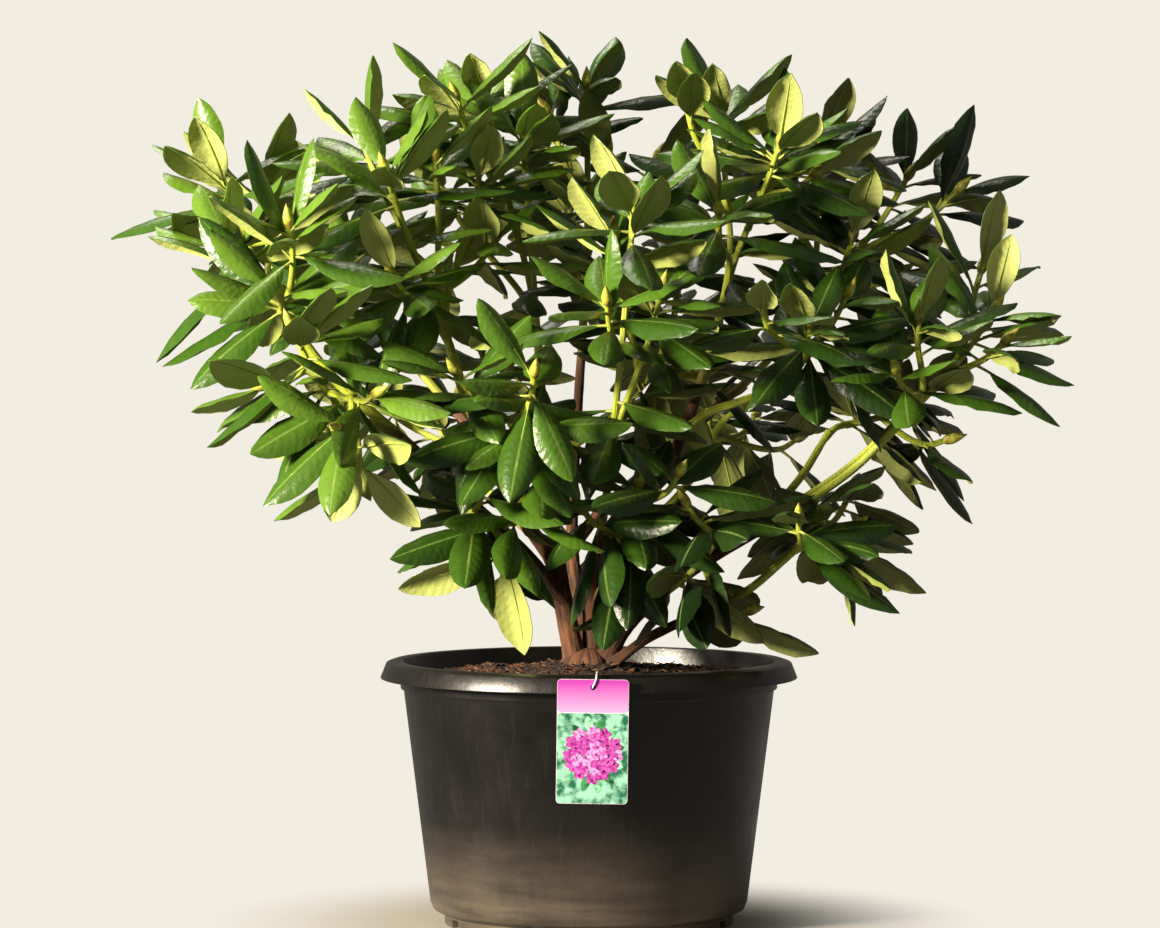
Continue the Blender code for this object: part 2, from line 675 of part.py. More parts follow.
def leaf_line(leaf, shares):
    """Points, directions and normals at shares of a leaf's length, as it bends over."""
    steps = 12
    point, marks = leaf.root.copy(), []
    for step in range(steps + 1):
        direction = Matrix.Rotation(leaf.droop * (step / steps) ** 2, 3, leaf.side) @ leaf.heading
        marks.append((point.copy(), direction))
        point = point + direction * (leaf.length / steps)
    found = []
    for share in shares:
        place = min(share, 1.0) * steps
        whole = min(int(place), steps - 1)
        spot = marks[whole][0].lerp(marks[whole + 1][0], place - whole)
        direction = marks[whole][1].lerp(marks[whole + 1][1], place - whole).normalized()
        spot = spot + direction * (max(share - 1.0, 0.0) * leaf.length)
        found.append((spot, direction.cross(leaf.side)))
    return found


def leaf_solid(leaf):
    """The leaf as a solid: a petiole that widens into a keeled blade with a pointed tip."""
    marks = leaf_line(leaf, (0.0, *(share for share, _ in LEAF_STATIONS), 1.0))
    keel = leaf.length * KEEL_SHARE
    point, normal = marks[0]
    turns = (math.pi / 2, math.pi * 7 / 6, math.pi * 11 / 6)
    rings = [[point + (leaf.side * math.cos(a) - normal * math.sin(a)) * PETIOLE_RADIUS for a in turns]]
    for (point, normal), (_, half) in zip(marks[1:], LEAF_STATIONS):
        reach = leaf.side * (leaf.width / 2 * half)
        rings.append([point - normal * keel, point - reach, point + reach])
    return loft(rings, marks[-1][0])


def leaf_room(leaf, start):
    """A closed shape a little larger than the leaf from a share of its length on, for testing."""
    before, after = (0.0, 2 * PETIOLE_RADIUS / leaf.width), LEAF_STATIONS[0]
    narrow = before[1] + (after[1] - before[1]) * start / after[0]
    outline = ((start, narrow), *LEAF_STATIONS, (1.01, 0.0))
    rings = []
    for (point, normal), (_, half) in zip(leaf_line(leaf, [share for share, _ in outline]), outline):
        reach = leaf.side * (leaf.width / 2 * half + TEST_MARGIN)
        lift = normal * TEST_MARGIN
        rings.append([point + lift, point + reach, point - lift * 1.6, point - reach])
    return loft(rings)


def candidate(rng, place, axis, turn, inner, nudge, hang):
    """One leaf of a whorl at an azimuth; inner runs from 0 for the oldest to 1 for the youngest."""
    height = min(max((place.z - LOW_CROWN) / (HIGH_CROWN - LOW_CROWN), 0.0), 1.0)
    outer_rise = HANGING[0] * hang + (RISING[0] - HANGING[0] * hang) * height
    inner_rise = HANGING[1] + (RISING[1] - HANGING[1]) * height
    rise = outer_rise + (inner_rise - outer_rise) * inner + rng.uniform(-0.16, 0.16) + nudge
    outward = Vector((place.x, place.y, 0))
    first = (outward - axis * outward.dot(axis)).normalized()
    second = axis.cross(first)
    radial = first * math.cos(turn) + second * math.sin(turn)
    heading = (radial * math.cos(rise) + axis * math.sin(rise)).normalized()
    roll = Matrix.Rotation(rng.uniform(-LEAF_ROLL, LEAF_ROLL), 3, heading)
    side = roll @ axis.cross(radial).normalized()
    length = (LEAF_LENGTHS[0] + (LEAF_LENGTHS[1] - LEAF_LENGTHS[0]) * inner) * rng.uniform(0.9, 1.1)
    width = length * LEAF_WIDTH_SHARE * rng.uniform(0.9, 1.1)
    return Leaf(place, heading, side, length, width, rng.uniform(*LEAF_DROOP))


def point_back(path, distance):
    """The point on a shoot at a distance back from its end, and the shoot's direction there."""
    for a, b in zip(reversed(path[:-1]), reversed(path[1:])):
        length = (b - a).length
        if distance <= length:
            break
        distance -= length
    return b.lerp(a, min(distance / length, 1.0)), (b - a).normalized()


def grow_whorl(plan, spray, rng, path, back, count, inner_range):
    """The leaves of one whorl, each turned or tilted until it has room, or left out.

    The whorl sits on a shoot, a distance back from its end, and faces the way the shoot does,
    lifted a little towards the light. Its oldest and longest leaf points out of the crown.
    """
    leaves = []
    turn = rng.uniform(-0.4, 0.4) - GOLDEN_ANGLE
    for k in range(count):
        share = k / max(count - 1, 1)
        inner = inner_range[0] + (inner_range[1] - inner_range[0]) * share
        root, along = point_back(path, back + ROSETTE_DEPTH * (1 - share))
        axis = (along + UP * WHORL_LIFT).normalized()
        turn += GOLDEN_ANGLE
        for attempt in range(TRIES):
            swing = rng.uniform(-0.16, 0.16) * attempt
            nudge = rng.uniform(-0.11, 0.13) * attempt
            leaf = candidate(rng, root, axis, turn + swing, inner, nudge, spray.hang)
            whole, blade = leaf_room(leaf, 0.05), leaf_room(leaf, 0.22)
            if plan.has_room(spray.name, whole, blade):
                plan.take(spray.name, whole, blade)
                leaves.append(leaf)
                break
    return leaves


def grow_leaves(plan):
    """All leaves by spray: rosettes first, then the collars at the forks and at the sprays' feet."""
    leaves = {spray.name: [] for spray in SPRAYS}
    for spray in SPRAYS:
        for k, path in enumerate(plan.shoots[spray.name][1:]):
            rng = random.Random(f"{spray.name} rosette {k}")
            found = grow_whorl(plan, spray, rng, path, 0.004, ROSETTE_LEAVES, (0.0, 1.0))
            leaves[spray.name] += found
    for spray in SPRAYS:
        rng = random.Random(f"{spray.name} fork")
        longest = max(plan.shoots[spray.name][1:], key=lambda path: (path[-1] - path[0]).length)
        reach = (longest[-1] - longest[0]).length
        found = grow_whorl(plan, spray, rng, longest, reach * 0.75, FORK_LEAVES, (0.1, 0.5))
        if reach > 0.13:
            found += grow_whorl(plan, spray, rng, longest, reach * 0.4, MIDDLE_LEAVES, (0.2, 0.6))
        leaves[spray.name] += found
    return leaves


def make_spray(plan, spray, leaves, materials, parent):
    """One spray as a single solid: its stub, shoots, buds and leaves joined by a Boolean union."""
    stub, *shoots = plan.shoots[spray.name]
    bough_radius = plan.radii[spray.bough][-1]
    shapes = [shoot_shape(path, tapered(path, *SHOOT_RADII)) for path in shoots]
    shapes += [leaf_solid(leaf) for leaf in leaves]
    heading = (stub[1] - stub[0]).normalized()
    base_radii = [bough_radius * 0.96, SHOOT_RADII[0] * 1.15]
    base = tube([stub[0], stub[1] + heading * 0.003], base_radii, LIMB_SIDES)
    thing = make_object(spray.name, mesh_of(spray.name, *base), materials["foliage"])
    bag = bpy.data.collections.new(spray.name + "_pieces")
    bpy.context.scene.collection.children.link(bag)
    for k, shape in enumerate(shapes):
        piece = bpy.data.objects.new(f"{spray.name}_piece_{k}", mesh_of("piece", *shape))
        bag.objects.link(piece)
    boolean(thing, "UNION", "MANIFOLD", collection=bag)
    for piece in list(bag.objects):
        bpy.data.objects.remove(piece)
    bpy.data.collections.remove(bag)
    keep_largest_body(thing.data)
    thing.modifiers.new("Triangulate", "TRIANGULATE")
    thing.modifiers.new("Decimate", "DECIMATE").ratio = KEPT_SHARE
    apply_modifiers(thing)
    thing.data.transform(Matrix.Translation(-stub[0]))
    thing.location = stub[0]
    thing.parent = parent
    return thing


def make_limbs(plan, materials, parent):
    """The root crown and the limbs, each cut clear of the ones that it starts in or passes."""
    crown_mesh = mesh_of("root_crown", *crown_shape())
    crown = make_object("root_crown", crown_mesh, materials["bark"], parent=parent)
    trees = {"crown": tree_of(crown_shape(CLEARANCE))}
    for limb in LIMBS:
        whole = plan.limb_shape(limb.name)
        thing = make_object(limb.name, mesh_of(limb.name, *whole), materials["bark"])
        own = tree_of(whole)
        for other, tree in trees.items():
            if own.overlap(tree):
                shape = crown_shape(CLEARANCE) if other == "crown" else plan.limb_shape(other, CLEARANCE)
                cutter = make_object("cutter", mesh_of("cutter", *shape))
                boolean(thing, "DIFFERENCE", "EXACT", other=cutter)
                bpy.data.objects.remove(cutter)
        keep_largest_body(thing.data)
        root = plan.paths[limb.name][0]
        thing.data.transform(Matrix.Translation(-root))
        thing.location = root
        thing.parent = parent
        trees[limb.name] = tree_of(plan.limb_shape(limb.name, CLEARANCE))
    return crown


def main():
    clear_scene()
    materials = make_materials()
    container = bpy.data.objects.new("container", None)
    plant = bpy.data.objects.new("plant", None)
    for empty in (container, plant):
        bpy.context.scene.collection.objects.link(empty)
    make_pot(materials, container)
    make_soil(materials, container)
    make_label(materials, container)
    make_tie(materials, container)
    plan = Plan()
    make_limbs(plan, materials, plant)
    leaves = grow_leaves(plan)
    for spray in SPRAYS:
        make_spray(plan, spray, leaves[spray.name], materials, plant)
    print(sum(map(len, leaves.values())), "leaves on", len(SPRAYS), "sprays")


main()
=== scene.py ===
# %% [markdown]
# # A catawba rhododendron in its nursery container
#
# A young evergreen shrub, about 0.67 m above its rim, in a black moulded tub. The CAD frame holds
# its solids: container, compost, label, tie, root crown, stems, boughs and one solid for each spray
# of foliage. This lesson dresses that frame. The growth rule that placed the leaves of the solids
# is run again here, so each leaf of the picture lies where the frame has room for it.

# %% The frame
import json
import math
import random
from collections import namedtuple

import bmesh
import bpy
from mathutils import Matrix, Vector
from mathutils.bvhtree import BVHTree

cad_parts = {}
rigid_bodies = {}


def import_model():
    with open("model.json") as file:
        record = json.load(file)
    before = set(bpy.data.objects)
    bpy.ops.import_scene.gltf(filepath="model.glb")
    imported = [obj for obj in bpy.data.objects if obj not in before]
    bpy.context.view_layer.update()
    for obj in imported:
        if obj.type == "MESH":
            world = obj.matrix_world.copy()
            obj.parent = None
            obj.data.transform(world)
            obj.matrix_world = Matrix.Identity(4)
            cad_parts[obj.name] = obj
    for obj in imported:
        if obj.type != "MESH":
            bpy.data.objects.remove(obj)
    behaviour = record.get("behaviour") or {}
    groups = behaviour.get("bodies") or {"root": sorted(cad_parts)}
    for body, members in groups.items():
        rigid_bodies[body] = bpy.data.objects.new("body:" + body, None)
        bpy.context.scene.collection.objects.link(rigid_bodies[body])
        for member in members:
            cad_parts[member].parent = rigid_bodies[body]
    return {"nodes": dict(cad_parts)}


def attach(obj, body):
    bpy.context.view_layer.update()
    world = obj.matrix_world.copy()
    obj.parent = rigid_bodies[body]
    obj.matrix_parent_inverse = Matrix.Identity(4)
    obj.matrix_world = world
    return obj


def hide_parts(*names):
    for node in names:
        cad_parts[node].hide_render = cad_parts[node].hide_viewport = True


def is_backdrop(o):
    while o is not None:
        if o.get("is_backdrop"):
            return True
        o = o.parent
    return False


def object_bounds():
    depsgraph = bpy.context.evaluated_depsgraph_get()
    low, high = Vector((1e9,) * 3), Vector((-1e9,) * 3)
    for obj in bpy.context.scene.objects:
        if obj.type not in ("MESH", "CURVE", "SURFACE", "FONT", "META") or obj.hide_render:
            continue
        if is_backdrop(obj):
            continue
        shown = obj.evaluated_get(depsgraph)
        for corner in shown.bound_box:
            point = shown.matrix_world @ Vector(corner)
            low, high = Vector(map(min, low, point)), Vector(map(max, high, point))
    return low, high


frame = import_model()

MM = 0.001
UP = Vector((0, 0, 1))
GOLDEN_ANGLE = math.radians(137.508)
cad_low, cad_high = (Vector(corner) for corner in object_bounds())
print("frame:", len(frame["nodes"]), "solids, box", [round(v, 3) for v in (*cad_low, *cad_high)])

# %% [markdown]
# ## Camera, light and floor
#
# The picture was taken from in front, a little above the rim, with a long lens. A soft key light
# stands high on the left and leaves the right side dark. The floor is a disc whose rim takes the
# colour of the world, so no edge or horizon shows from any side.

# %% Colours and nodes
def linear(hex_colour):
    """An sRGB colour such as "#a3b33a" as linear red, green, blue and alpha."""
    shares = [int(hex_colour[i:i + 2], 16) / 255 for i in (1, 3, 5)]
    return (*(s / 12.92 if s <= 0.04045 else ((s + 0.055) / 1.055) ** 2.4 for s in shares), 1.0)


def add(tree, kind, inputs=None, **settings):
    """Adds a node with its settings; inputs maps a socket's name or number to a value or a socket."""
    node = tree.nodes.new(kind)
    for name, value in settings.items():
        setattr(node, name, value)
    for name, value in (inputs or {}).items():
        if isinstance(value, bpy.types.NodeSocket):
            tree.links.new(value, node.inputs[name])
        else:
            node.inputs[name].default_value = value
    return node


CREAM = linear("#f2ede1")
FILL = 0.24  # the light that the paper gives, as a share of its brightness
scene = bpy.context.scene
scene.view_settings.view_transform = "Standard"
scene.world = bpy.data.worlds.new("studio")
scene.world.use_nodes = True
studio = scene.world.node_tree
backdrop = studio.nodes["Background"]
backdrop.inputs["Color"].default_value = CREAM
# The paper behind the plant is lit on its own, so it is brighter than the light that it gives.
fill = add(studio, "ShaderNodeBackground", {"Color": CREAM, "Strength": FILL}).outputs[0]
seen = add(studio, "ShaderNodeLightPath").outputs["Is Camera Ray"]
paper = add(studio, "ShaderNodeMixShader", {0: seen, 1: fill, 2: backdrop.outputs[0]}).outputs[0]
studio.links.new(paper, studio.nodes["World Output"].inputs["Surface"])
print("backdrop", [round(c, 3) for c in CREAM])

# %% The camera
# A frame of 1160 by 928 pixels sees 4950 pixels for each metre of width at one metre, from 5 m away.
IMAGE_WIDTH = 1160
PIXELS_PER_RADIAN = 4950
camera = bpy.data.objects.new("camera", bpy.data.cameras.new("camera"))
camera.data.sensor_width = 36
camera.data.lens = PIXELS_PER_RADIAN * camera.data.sensor_width / IMAGE_WIDTH
camera.location = (-0.009, -5.0, 0.640)
camera.rotation_euler = (math.radians(90 - 2.01), 0, 0)
camera.data.clip_end = 50
scene.collection.objects.link(camera)
scene.camera = camera
print("lens", round(camera.data.lens, 1), "mm")

# %% The lights
def area_light(name, place, target, size, power, colour):
    """A square soft box that faces a target."""
    light = bpy.data.lights.new(name, "AREA")
    light.size = size
    light.energy = power
    light.color = linear(colour)[:3]
    holder = bpy.data.objects.new(name, light)
    holder.location = place
    holder.rotation_euler = (Vector(target) - Vector(place)).to_track_quat("-Z", "Y").to_euler()
    scene.collection.objects.link(holder)


area_light("key_light", (-3.1, -2.3, 1.25), (0, 0, 0.50), 0.7, 600, "#fff1d8")
area_light("top_light", (-0.8, 1.2, 2.9), (0, 0, 0.6), 1.2, 45, "#fff8ea")
print("two soft boxes")

# %% The floor
FLOOR_RADIUS = 2.6
FLOOR_FADE = (0.16, 0.42)  # where the floor starts and ends to take the world's colour, in metres
form = bmesh.new()
bmesh.ops.create_circle(form, cap_ends=True, segments=96, radius=FLOOR_RADIUS)
floor_mesh = bpy.data.meshes.new("floor")
form.to_mesh(floor_mesh)
form.free()
floor = bpy.data.objects.new("floor", floor_mesh)
scene.collection.objects.link(floor)

floor_paint = bpy.data.materials.new("matt_studio_floor")
floor_paint.use_nodes = True
tree = floor_paint.node_tree
shader = tree.nodes["Principled BSDF"]
shader.inputs["Base Color"].default_value = linear("#a39f96")
shader.inputs["Roughness"].default_value = 0.9
place = add(tree, "ShaderNodeTexCoord").outputs["Object"]
far = add(tree, "ShaderNodeVectorMath", {0: place}, operation="LENGTH").outputs["Value"]
fade = add(
    tree, "ShaderNodeMapRange", {"Value": far, "From Min": FLOOR_FADE[0], "From Max": FLOOR_FADE[1]},
    interpolation_type="SMOOTHSTEP",
).outputs["Result"]
# Like the paper, the far floor is brighter to the eye than the light that it gives.
seen = add(tree, "ShaderNodeLightPath").outputs["Is Camera Ray"]
strength = add(tree, "ShaderNodeMapRange", {"Value": seen, "To Min": FILL, "To Max": 1.0}).outputs[0]
glow = add(tree, "ShaderNodeEmission", {"Color": CREAM, "Strength": strength}).outputs[0]
blend = add(tree, "ShaderNodeMixShader", {0: fade, 1: shader.outputs[0], 2: glow})
tree.links.new(blend.outputs[0], tree.nodes["Material Output"].inputs["Surface"])
floor_mesh.materials.append(floor_paint)
floor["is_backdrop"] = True
print("floor", FLOOR_RADIUS, "m")

# %% [markdown]
# ## The rule that grows the plant
#
# A rhododendron grows in flushes. Each shoot ends in a bud, with a rosette of young leaves under
# it and a collar of older ones lower down, a golden angle apart. The tables give the limbs and the
# tips of the leading shoots in millimetres; all else follows from named sizes and seeded chance.
# These tables and functions repeat the rule of the solids, so their leaves come out the same.

# %% Heights and the tables of limbs
CLEARANCE = 0.3 * MM
POT_HEIGHT = 0.266
SOIL_TOP = 0.255
Limb = namedtuple("Limb", "name parent start radii points")
LIMBS = (
    Limb("left_stem", "crown", (-13, -2), (11.5, 9.0), ((-32, -5, 108),)),
    Limb("middle_stem", "crown", (3, 4), (10.5, 7.5), ((12, 10, 124), (88, 25, 218))),
    Limb("right_bough", "crown", (14, -8), (10.5, 5.4), ((79, -40, 89), (314, -100, 261))),
    Limb("back_stem", "crown", (-4, 16), (10.0, 7.5), ((-19, 140, 125),)),
    Limb("low_right_bough", "crown", (22, -20), (5.4, 3.8), ((196, -130, 123),)),
    Limb("left_bough", "left_stem", 0.6, (7.8, 4.6), ((-152, -100, 207), (-289, -150, 348))),
    Limb("upper_left_bough", "left_stem", 1.0, (8.0, 5.0), ((-84, -20, 184), (-138, -35, 323))),
    Limb("centre_bough", "left_stem", 1.0, (7.0, 4.5), ((-52, 100, 328),)),
    Limb("front_bough", "middle_stem", 0.3, (5.0, 3.9), ((20, -100, 209),)),
    Limb("upper_right_bough", "middle_stem", 1.0, (6.5, 4.2), ((137, 45, 375),)),
    Limb("right_front_bough", "upper_right_bough", 0.2, (4.6, 3.9), ((200, -90, 304),)),
    Limb("right_mid_bough", "right_bough", 0.68, (4.4, 3.7), ((232, -30, 228),)),
    Limb("inner_right_bough", "right_bough", 0.34, (4.6, 3.7), ((118, -128, 130),)),
    Limb("low_left_bough", "left_bough", 0.32, (4.6, 3.7), ((-118, -135, 158),)),
    Limb("left_low_bough", "left_bough", 0.62, (4.4, 3.7), ((-245, -190, 277),)),
    Limb("front_left_bough", "upper_left_bough", 0.6, (4.8, 3.8), ((-92, -130, 255),)),
    Limb("low_middle_bough", "middle_stem", 0.2, (4.6, 3.7), ((30, -95, 128),)),
    Limb("middle_bough", "centre_bough", 0.45, (4.4, 3.7), ((30, 20, 262),)),
    Limb("back_left_bough", "back_stem", 1.0, (6.2, 4.2), ((-114, 230, 227), (-200, 270, 332))),
    Limb("back_centre_bough", "back_stem", 1.0, (6.2, 4.0), ((-3, 190, 406),)),
    Limb("back_right_bough", "back_stem", 1.0, (6.6, 4.0), ((97, 210, 227), (213, 220, 343))),
    Limb("back_low_left_bough", "back_stem", 0.7, (4.8, 3.7), ((-115, 235, 188),)),
    Limb("back_low_right_bough", "back_stem", 0.7, (4.8, 3.7), ((112, 240, 188),)),
)

# %% The table of sprays
Spray = namedtuple("Spray", "name bough leaders side_shoots hang")
SPRAYS = (
    Spray(
        "left_spray", "left_bough",
        ((-300, -195, 380), (-358, -120, 432), (-366, -60, 500), (-330, -10, 484)),
        1, 1.0,
    ),
    Spray("left_low_spray", "left_low_bough", ((-285, -228, 346), (-208, -245, 284)), 0, 0.9),
    Spray(
        "upper_left_spray", "upper_left_bough",
        ((-200, -110, 500), (-153, -80, 514), (-110, -40, 499), (-243, -60, 425)),
        1, 0.8,
    ),
    Spray("front_left_spray", "front_left_bough", ((-127, -190, 302), (-53, -215, 253)), 1, 1.5),
    Spray("low_left_spray", "low_left_bough", ((-104, -188, 188), (-58, -185, 168)), 0, 1.0),
    Spray("top_left_spray", "centre_bough", ((-105, 50, 576), (-67, 0, 540), (-154, 150, 495)), 1, 0.8),
    Spray("centre_spray", "front_bough", ((43, -180, 466), (70, -165, 382)), 1, 0.8),
    Spray("low_middle_spray", "low_middle_bough", ((48, -135, 190), (-5, -145, 168)), 0, 1.2),
    Spray("middle_spray", "middle_bough", ((30, -20, 400), (80, 10, 340)), 1, 0.7),
    Spray(
        "top_right_spray", "upper_right_bough",
        ((137, 40, 566), (190, -50, 530), (128, -110, 460)),
        1, 0.8,
    ),
    Spray(
        "right_front_spray", "right_front_bough",
        ((216, -150, 348), (253, -100, 376), (264, -20, 435)),
        0, 0.6,
    ),
    Spray("right_spray", "right_bough", ((324, -130, 352), (400, -80, 362), (302, -150, 304)), 0, 0.2),
    Spray("right_mid_spray", "right_mid_bough", ((285, 30, 262),), 1, 0.6),
    Spray(
        "low_right_spray", "low_right_bough",
        ((205, -165, 158), (258, -110, 148), (266, -10, 186)),
        0, 0.3,
    ),
    Spray("inner_right_spray", "inner_right_bough", ((98, -150, 172), (70, -125, 94)), 0, 0.9),
    Spray(
        "back_top_spray", "back_centre_bough",
        ((-2, 110, 592), (70, 225, 522), (-20, 300, 470)),
        2, 0.8,
    ),
    Spray("back_left_spray", "back_left_bough", ((-260, 240, 422), (-296, 150, 466)), 3, 0.8),
    Spray("back_right_spray", "back_right_bough", ((244, 190, 535), (330, 150, 500)), 3, 0.8),
    Spray("back_low_left_spray", "back_low_left_bough", ((-160, 300, 240),), 2, 0.9),
    Spray("back_low_right_spray", "back_low_right_bough", ((130, 305, 268),), 2, 0.9),
)
print(len(LIMBS), "limbs and", len(SPRAYS), "sprays")

# %% Named sizes of the rule
STEPS_PER_SPAN = 4
FOLLOW_PARENT = 0.55  # how far a limb sets off along its parent
TURN_UP = 0.45  # how far a limb's end turns up
LIMB_SIDES = 6
STEM_SIDES = 8
STEM_NAMES = ("left_stem", "middle_stem", "back_stem", "right_bough")
SHOOT_SIDES = 3
SHOOT_STEPS = 4
FORK_STUB = 0.014
LIMB_RADIUS_AT_SPRAY = 5.8 * MM
SHOOT_RADII = (3.6 * MM, 3.0 * MM)
BUD_RADIUS = 5.6 * MM
BUD_LENGTH = 25 * MM
SIDE_SHOOT_LENGTHS = (0.060, 0.105)
SIDE_SHOOT_STARTS = (0.25, 0.6)
SIDE_SHOOT_ANGLES = (math.radians(35), math.radians(65))
TIP_SPACING = 0.062
CROWN_RADIUS = 0.44
CROWN_TOP = 0.60
CROWN_SHOULDER = 0.16
ROSETTE_LEAVES = 7
FORK_LEAVES = 4
MIDDLE_LEAVES = 2
ROSETTE_DEPTH = 30 * MM
LOW_CROWN, HIGH_CROWN = 0.425, 0.805  # heights between which leaves change from hanging to rising
HANGING = (math.radians(-36), math.radians(10))
RISING = (math.radians(-2), math.radians(52))
LEAF_LENGTHS = (122 * MM, 90 * MM)
LEAF_WIDTH_SHARE = 0.345
LEAF_DROOP = (math.radians(4), math.radians(32))
WHORL_LIFT = 1.2
LEAF_ROLL = 0.42
PETIOLE_RADIUS = 1.25 * MM
LEAF_STATIONS = ((0.36, 0.84), (0.78, 0.90))
TRIES = 12
TEST_MARGIN = 1.7 * MM

# %% Curves in space
def smooth_path(points, steps, first=None, last=None):
    """Points along a Catmull-Rom curve through the given ones, with set directions at its ends."""
    before, after = points[0] * 2 - points[1], points[-1] * 2 - points[-2]
    if first:
        before = points[1] - first * (2 * (points[1] - points[0]).length)
    if last:
        after = points[-2] + last * (2 * (points[-1] - points[-2]).length)
    ends = [before, *points, after]
    path = []
    for a, b, c, d in zip(ends, ends[1:], ends[2:], ends[3:]):
        for step in range(steps):
            t = step / steps
            path.append(
                b
                + (c - a) * (0.5 * t)
                + (a * 2 - b * 5 + c * 4 - d) * (0.5 * t * t)
                + (b * 3 - a - c * 3 + d) * (0.5 * t * t * t)
            )
    return path + [points[-1].copy()]


def bezier(a, b, c, d, steps):
    """Points along a cubic Bezier curve."""
    path = []
    for step in range(steps + 1):
        t = step / steps
        u = 1 - t
        path.append(a * u**3 + b * (3 * u * u * t) + c * (3 * u * t * t) + d * t**3)
    return path


def tangents(path):
    """The direction of travel at each point of a path."""
    ahead = path[1:] + [path[-1] * 2 - path[-2]]
    behind = [path[0] * 2 - path[1]] + path[:-1]
    return [(b - a).normalized() for a, b in zip(behind, ahead)]


def tapered(path, first, last):
    """Radii that shrink evenly along a path."""
    return [first + (last - first) * i / (len(path) - 1) for i in range(len(path))]


def point_along(path, share):
    """The point at a share of a path's steps, and the path's direction there."""
    place = share * (len(path) - 1)
    whole = min(int(place), len(path) - 2)
    return path[whole].lerp(path[whole + 1], place - whole), (path[whole + 1] - path[whole]).normalized()


def point_back(path, distance):
    """The point on a shoot at a distance back from its end, and the shoot's direction there."""
    for a, b in zip(reversed(path[:-1]), reversed(path[1:])):
        length = (b - a).length
        if distance <= length:
            break
        distance -= length
    return b.lerp(a, min(distance / length, 1.0)), (b - a).normalized()


def above_compost(x, y, height):
    """A point of the tables, in metres."""
    return Vector((x * MM, y * MM, SOIL_TOP + height * MM))

# %% Simple closed shapes, for testing room
def loft(sections, tip=None):
    """Vertices and faces of a closed skin over rings of points, ending in a face or in a tip."""
    sides = len(sections[0])
    vertices = [point for section in sections for point in section]
    faces = [tuple(range(sides))]
    for start in range(0, sides * (len(sections) - 1), sides):
        for i in range(sides):
            j = (i + 1) % sides
            faces.append((start + i, start + j, start + sides + j, start + sides + i))
    last = len(vertices) - sides
    if tip is None:
        faces.append(tuple(range(last, last + sides)))
    else:
        vertices.append(tip)
        faces += [(last + i, last + (i + 1) % sides, len(vertices) - 1) for i in range(sides)]
    return vertices, faces


def tube_sections(path, radii, sides):
    """A ring of points round each point of a path, turning with it and never twisting."""
    directions = tangents(path)
    side = directions[0].orthogonal().normalized()
    sections = []
    for point, direction, radius in zip(path, directions, radii):
        side = (side - direction * side.dot(direction)).normalized()
        across = direction.cross(side)
        turns = (math.tau * k / sides for k in range(sides))
        sections.append([point + (side * math.cos(a) + across * math.sin(a)) * radius for a in turns])
    return sections


def tube(path, radii, sides):
    """Vertices and faces of a tube."""
    return loft(tube_sections(path, radii, sides))


def shoot_shape(path, radii):
    """A shoot with the pointed bud at its end."""
    end = tangents(path)[-1]
    belly = path[-1] + end * (BUD_LENGTH * 0.42)
    sections = tube_sections([*path, belly], [*radii, BUD_RADIUS], SHOOT_SIDES)
    return loft(sections, belly + end * (BUD_LENGTH * 0.58))


def tree_of(shape):
    """A search tree of a shape's faces, for testing whether two shapes cross."""
    return BVHTree.FromPolygons(shape[0], shape[1])

